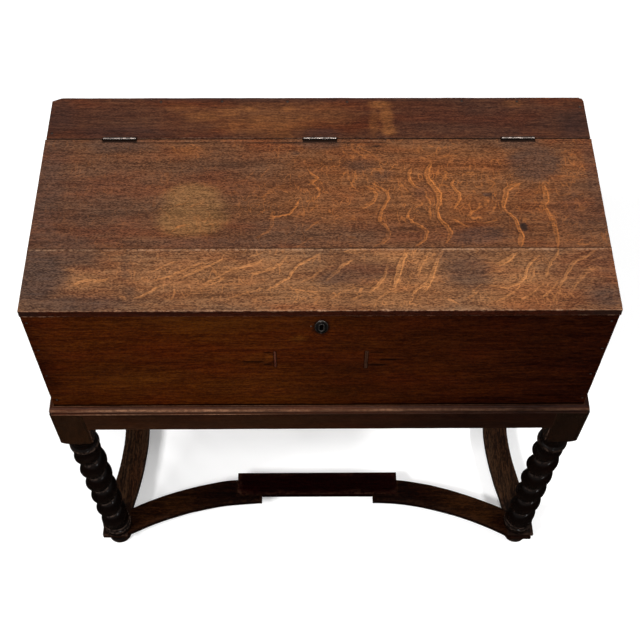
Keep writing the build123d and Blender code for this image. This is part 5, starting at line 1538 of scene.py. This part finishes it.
def front_shift(p):
    """The drift of the front arcs and of the straight board between them."""
    out = np.zeros_like(p)
    ax = np.abs(p[:, 0])
    reach = np.clip(ax, 111, 420) - ARC_CENTRE[0]
    y_front = -ARC_CENTRE[1] + np.sqrt(513.0**2 - reach**2)
    y_rear = -ARC_CENTRE[1] + np.sqrt(555.0**2 - reach**2)
    for lr, side in (("left", p[:, 0] < 0), ("right", p[:, 0] >= 0)):
        xs, fronts, rears = FRONT_BOARDS[lr]
        f, r = np.interp(ax, xs, fronts), np.interp(ax, xs, rears)
        t = (p[:, 1] - y_front) / (y_rear - y_front)
        dy = f + (r - f) * np.clip(t, -0.2, 1)
        beyond = np.clip((p[:, 1] - y_rear) / np.maximum(-71.0 - y_rear, 1.0), 0, 1)
        dy = np.where(ax < 165, dy + (2.0 - r) * beyond - 0.5 * np.clip(1 - np.abs(p[:, 1] + 115) / 12, 0, 1), dy)
        pad = step01(ax, 345, 392)
        pad_dx, pad_dy = {"left": (0.2, 1.4), "right": (-1.6, -6.5)}[lr]
        fore = step01(-p[:, 1], 110, 190)
        dy = dy * (1 - pad) + pad_dy * fore * pad
        dx = pad_dx * fore * step01(ax, 340, 400) * step01(ax, 395, 424) + side_drift(lr, p[:, 1]) * step01(ax, 335, 357)
        out[:, 1] = np.where(side, dy, out[:, 1])
        out[:, 0] = np.where(side, dx, out[:, 0])
    return out


def side_shift(lr, corner):
    def shift(p):
        out = corner(p)
        out[:, 0] += side_drift(lr, p[:, 1])
        return out

    return shift


for fb, sy in (("front", -1), ("rear", 1)):
    for lr, sx in (("left", -1), ("right", 1)):
        node = "stretcher_%s_%s_arc" % (fb, lr)
        move = front_shift if fb == "front" else None
        aged(node, "stand", ARC, "curved_" + node, bevel=0.9, seed=200 + sx + 3 * sy, paint=stretcher_paint, shift=move)
    node = "stretcher_%s_centre" % fb
    aged(node, "stand", CENTRE, "straight_" + node, bevel=1.0, seed=210 + sy, shift=front_shift if fb == "front" else None)
for lr, sx in (("left", -1), ("right", 1)):
    node = "stretcher_side_" + lr
    move = side_shift(lr, corner_shift(0.2, 1.0) if lr == "left" else corner_shift(2.4, -2.6))
    aged(node, "stand", ARC_SIDE, "curved_" + node, bevel=0.9, seed=220 + sx, paint=side_paint, shift=move)
for lr in ("left", "right"):
    aged("lid_cleat_" + lr, "lid", INSIDE, "cleat_" + lr, bevel=0.0, seed=230)


# ============================================================ iron and steel
def assign(node, material):
    ob = NODES[node]
    ob.data.materials.clear()
    ob.data.materials.append(material)
    for poly in ob.data.polygons:
        poly.material_index = 0


def soften(node, width=0.3, segments=2):
    """Modifiers only: the node's own mesh stays as packed."""
    ob = NODES[node]
    w = ob.modifiers.new("weld", "WELD")
    w.merge_threshold = 0.00002
    b = ob.modifiers.new("bevel", "BEVEL")
    b.width = width * MM
    b.segments = segments
    b.limit_method = "ANGLE"
    b.angle_limit = math.radians(35)
    b.use_clamp_overlap = True


for k in ("left", "centre", "right"):
    for part in ("fixed", "lid"):
        node = "hinge_leaf_%s_%s" % (part, k)
        assign(node, STEEL)
for node in ("hinge_pins",):
    assign(node, STEEL)
for node in (
    "hinge_screws_fixed", "hinge_screws_lid", "lock_screws", "link_plate_screws", "cleat_screws", "base_board_nails",
    "lock_case", "lock_plate", "lock_spring", "lock_bolt", "lock_link_plate",
):
    assign(node, IRON)


def heads(name, node, body, material, spots, radius, dome, seed, length=12.0):
    """Hand-forged heads with short shanks. spots are (point in mm, outward direction)."""
    rng = np.random.default_rng(seed)
    pts, faces = [], []
    n = 18
    for c, out in spots:
        out = Vector(out)
        u = out.orthogonal().normalized()
        v = out.cross(u).normalized()
        a0 = rng.uniform(0, 6.28)
        facets = 1 + 0.07 * np.sin(4 * (np.linspace(0, 2 * np.pi, n, endpoint=False)) + a0) + rng.uniform(-0.03, 0.03, n)
        rows = [(0.02, dome), (0.35, dome * 0.93), (0.65, dome * 0.72), (0.88, dome * 0.38), (1.0, 0.0), (0.97, -0.5), (0.5, -0.9), (0.42, -length)]
        base = len(pts)
        for k, (f, h) in enumerate(rows):
            for i in range(n):
                a = 2 * math.pi * i / n
                r = radius * f * (facets[i] if k < 6 else 1)
                pts.append(Vector(c) + u * (r * math.cos(a)) + v * (r * math.sin(a)) + out * h)
        for k in range(len(rows) - 1):
            for i in range(n):
                j = (i + 1) % n
                faces.append((base + k * n + j, base + k * n + i, base + (k + 1) * n + i, base + (k + 1) * n + j))
        faces.append(tuple(base + i for i in range(n)))
        last = base + (len(rows) - 1) * n
        faces.append(tuple(last + i for i in range(n))[::-1])
    ob = make_mesh(name, np.array([tuple(p) for p in pts]), faces, sharp=50)
    return settle(ob, body, material, (node,))


heads("nail_heads_top", "top_board_nails", "box", NAIL, [((x, y, 829.35), (0, 0, 1)) for x, y in TOP_NAILS], 1.7, 0.35, 3)
heads(
    "nail_heads_corners", "box_corner_nails", "box", NAIL,
    [((x, -199.95, z), (0, -1, 0)) for x, z in corner_nails(-1)] + [((x, 199.95, z), (0, 1, 0)) for x, z in corner_nails(1)],
    1.8, 0.4, 4,
)


def escutcheon():
    zc, face = 785.7, -200.5
    n_arc, n_straight, cz = 17, 7, 5.2

    def stadium(d):
        out = []
        for k in range(n_arc):
            t = math.pi * k / (n_arc - 1)
            out.append((d * math.cos(t), cz + d * math.sin(t)))
        for k in range(1, n_straight):
            out.append((-d, cz - 2 * cz * k / n_straight))
        for k in range(n_arc):
            t = math.pi + math.pi * k / (n_arc - 1)
            out.append((d * math.cos(t), -cz + d * math.sin(t)))
        for k in range(1, n_straight):
            out.append((d, -cz + 2 * cz * k / n_straight))
        return np.array(out)

    ring = stadium(4.3)
    angle = np.unwrap(np.arctan2(ring[:, 1] / 16.6, ring[:, 0] / 9.6))
    oval = np.stack([9.6 * np.cos(angle), 16.6 * np.sin(angle)], 1)
    rows = []
    up = np.array([0.0, 1.2])
    for d, h in ((2.9, -5.0), (2.9, 0.9), (2.95, 1.8), (3.1, 2.35), (3.4, 2.65), (3.75, 2.6), (4.05, 2.3), (4.3, 1.95)):
        rows.append((stadium(d) + up, h))
    for t in (0.12, 0.26, 0.42, 0.58, 0.72, 0.84, 0.93, 0.98, 1.0):
        rows.append(((ring + up) * (1 - t) + oval * t, 0.35 + 1.35 * math.sqrt(max(0.0, 1 - t**2.4)) if t < 1 else 0.0))
    rows.append((oval * 0.98, -0.05))
    n = len(ring)
    pts, faces = [], []
    for xy, h in rows:
        for x, z in xy:
            w = 0.06 * math.sin(1.7 * x + 0.9 * z)
            pts.append((x + 1.2, face - h - w * (h > 0.3), zc + z))
    for k in range(len(rows) - 1):
        for i in range(n):
            j = (i + 1) % n
            faces.append((k * n + j, k * n + i, (k + 1) * n + i, (k + 1) * n + j))
    ob = make_mesh("keyhole_plate", np.array(pts), faces, sharp=60)
    settle(ob, "box", ESC, ("keyhole_escutcheon",))
    # pins of the escutcheon: one below the keyhole, one above it and one beside the plate's left
    # edge; pit of the keyhole, so that nothing but darkness shows in it
    heads(
        "keyhole_pins", "escutcheon_pins", "box", NAIL,
        [((0, face - 1.0, zc - 13.6), (0, -1, 0)), ((0, face - 1.0, zc + 13.8), (0, -1, 0)), ((-13.6, face - 0.1, zc + 2.6), (0, -1, 0))],
        1.25, 0.9, 9, length=4.0,
    )


escutcheon()


# ============================================================ floor and light
def floor():
    g = Graph("floor_paper")
    n = g.noise(g.stretch(g.co, (2.5, 2.5, 2.5)), 1.0, 3, 0.5)
    g.put(g.bsdf.inputs["Base Color"], g.ramp(n, [(0.3, (0.83, 0.83, 0.83)), (0.7, (0.86, 0.86, 0.86))]))
    g.bsdf.inputs["Roughness"].default_value = 0.9
    g.bsdf.inputs["Specular IOR Level"].default_value = 0.1
    g.bsdf.inputs["Emission Color"].default_value = (1.0, 1.0, 1.0, 1.0)
    g.bsdf.inputs["Emission Strength"].default_value = 0.24
    n = 24
    pts = [(0, 0, 0)] + [(60000 * math.cos(2 * math.pi * k / n), 60000 * math.sin(2 * math.pi * k / n), 0) for k in range(n)]
    ob = make_mesh("floor", np.array(pts), [(0, 1 + k, 1 + (k + 1) % n) for k in range(n)], smooth=False)
    ob.data.materials.append(g.mat)
    ob.visible_glossy = False


def area(name, place, target, size, power, colour=(1, 1, 1), shape="RECTANGLE", size_y=None):
    data = bpy.data.lights.new(name, "AREA")
    data.shape = shape
    data.size = size
    if size_y:
        data.size_y = size_y
    data.energy = power
    data.color = colour
    ob = bpy.data.objects.new(name, data)
    bpy.context.scene.collection.objects.link(ob)
    ob.location = place
    ob.rotation_mode = "QUATERNION"
    ob.rotation_quaternion = (Vector(target) - Vector(place)).to_track_quat("-Z", "Y")
    return ob


def world():
    w = bpy.data.worlds.new("studio")
    bpy.context.scene.world = w
    w.use_nodes = True
    t = w.node_tree
    t.nodes.clear()
    out = t.nodes.new("ShaderNodeOutputWorld")
    bg = t.nodes.new("ShaderNodeBackground")
    co = t.nodes.new("ShaderNodeTexCoord")
    sep = t.nodes.new("ShaderNodeSeparateXYZ")
    ramp = t.nodes.new("ShaderNodeValToRGB")
    mr = t.nodes.new("ShaderNodeMapRange")
    t.links.new(co.outputs["Generated"], sep.inputs[0])
    t.links.new(sep.outputs[2], mr.inputs["Value"])
    mr.inputs["From Min"].default_value = -1
    mr.inputs["From Max"].default_value = 1
    t.links.new(mr.outputs["Result"], ramp.inputs[0])
    els = ramp.color_ramp.elements
    els[0].position, els[0].color = 0.40, (0.05, 0.045, 0.04, 1)
    els[1].position, els[1].color = 0.485, (0.95, 0.95, 0.96, 1)
    e = els.new(1.0)
    e.color = (1.0, 1.0, 1.0, 1)
    t.links.new(ramp.outputs["Color"], bg.inputs["Color"])
    bg.inputs["Strength"].default_value = 0.34
    t.links.new(bg.outputs[0], out.inputs[0])


floor()
world()
area("key_left", (-3.2, -2.8, 4.4), (0, -0.1, 0.5), 2.6, 330)
area("fill_right", (2.8, -0.6, 4.2), (0, 0, 0.5), 2.4, 130)
area("spark", (0.1, -1.5, 3.4), (0, -0.2, 0.3), 0.42, 20)
area("low_front", (0.55, -2.6, 0.55), (0, -0.2, 0.3), 0.5, 5)
bpy.context.scene.view_settings.view_transform = "Standard"
bpy.context.scene.view_settings.look = "None"
bpy.context.scene.view_settings.exposure = 0.0
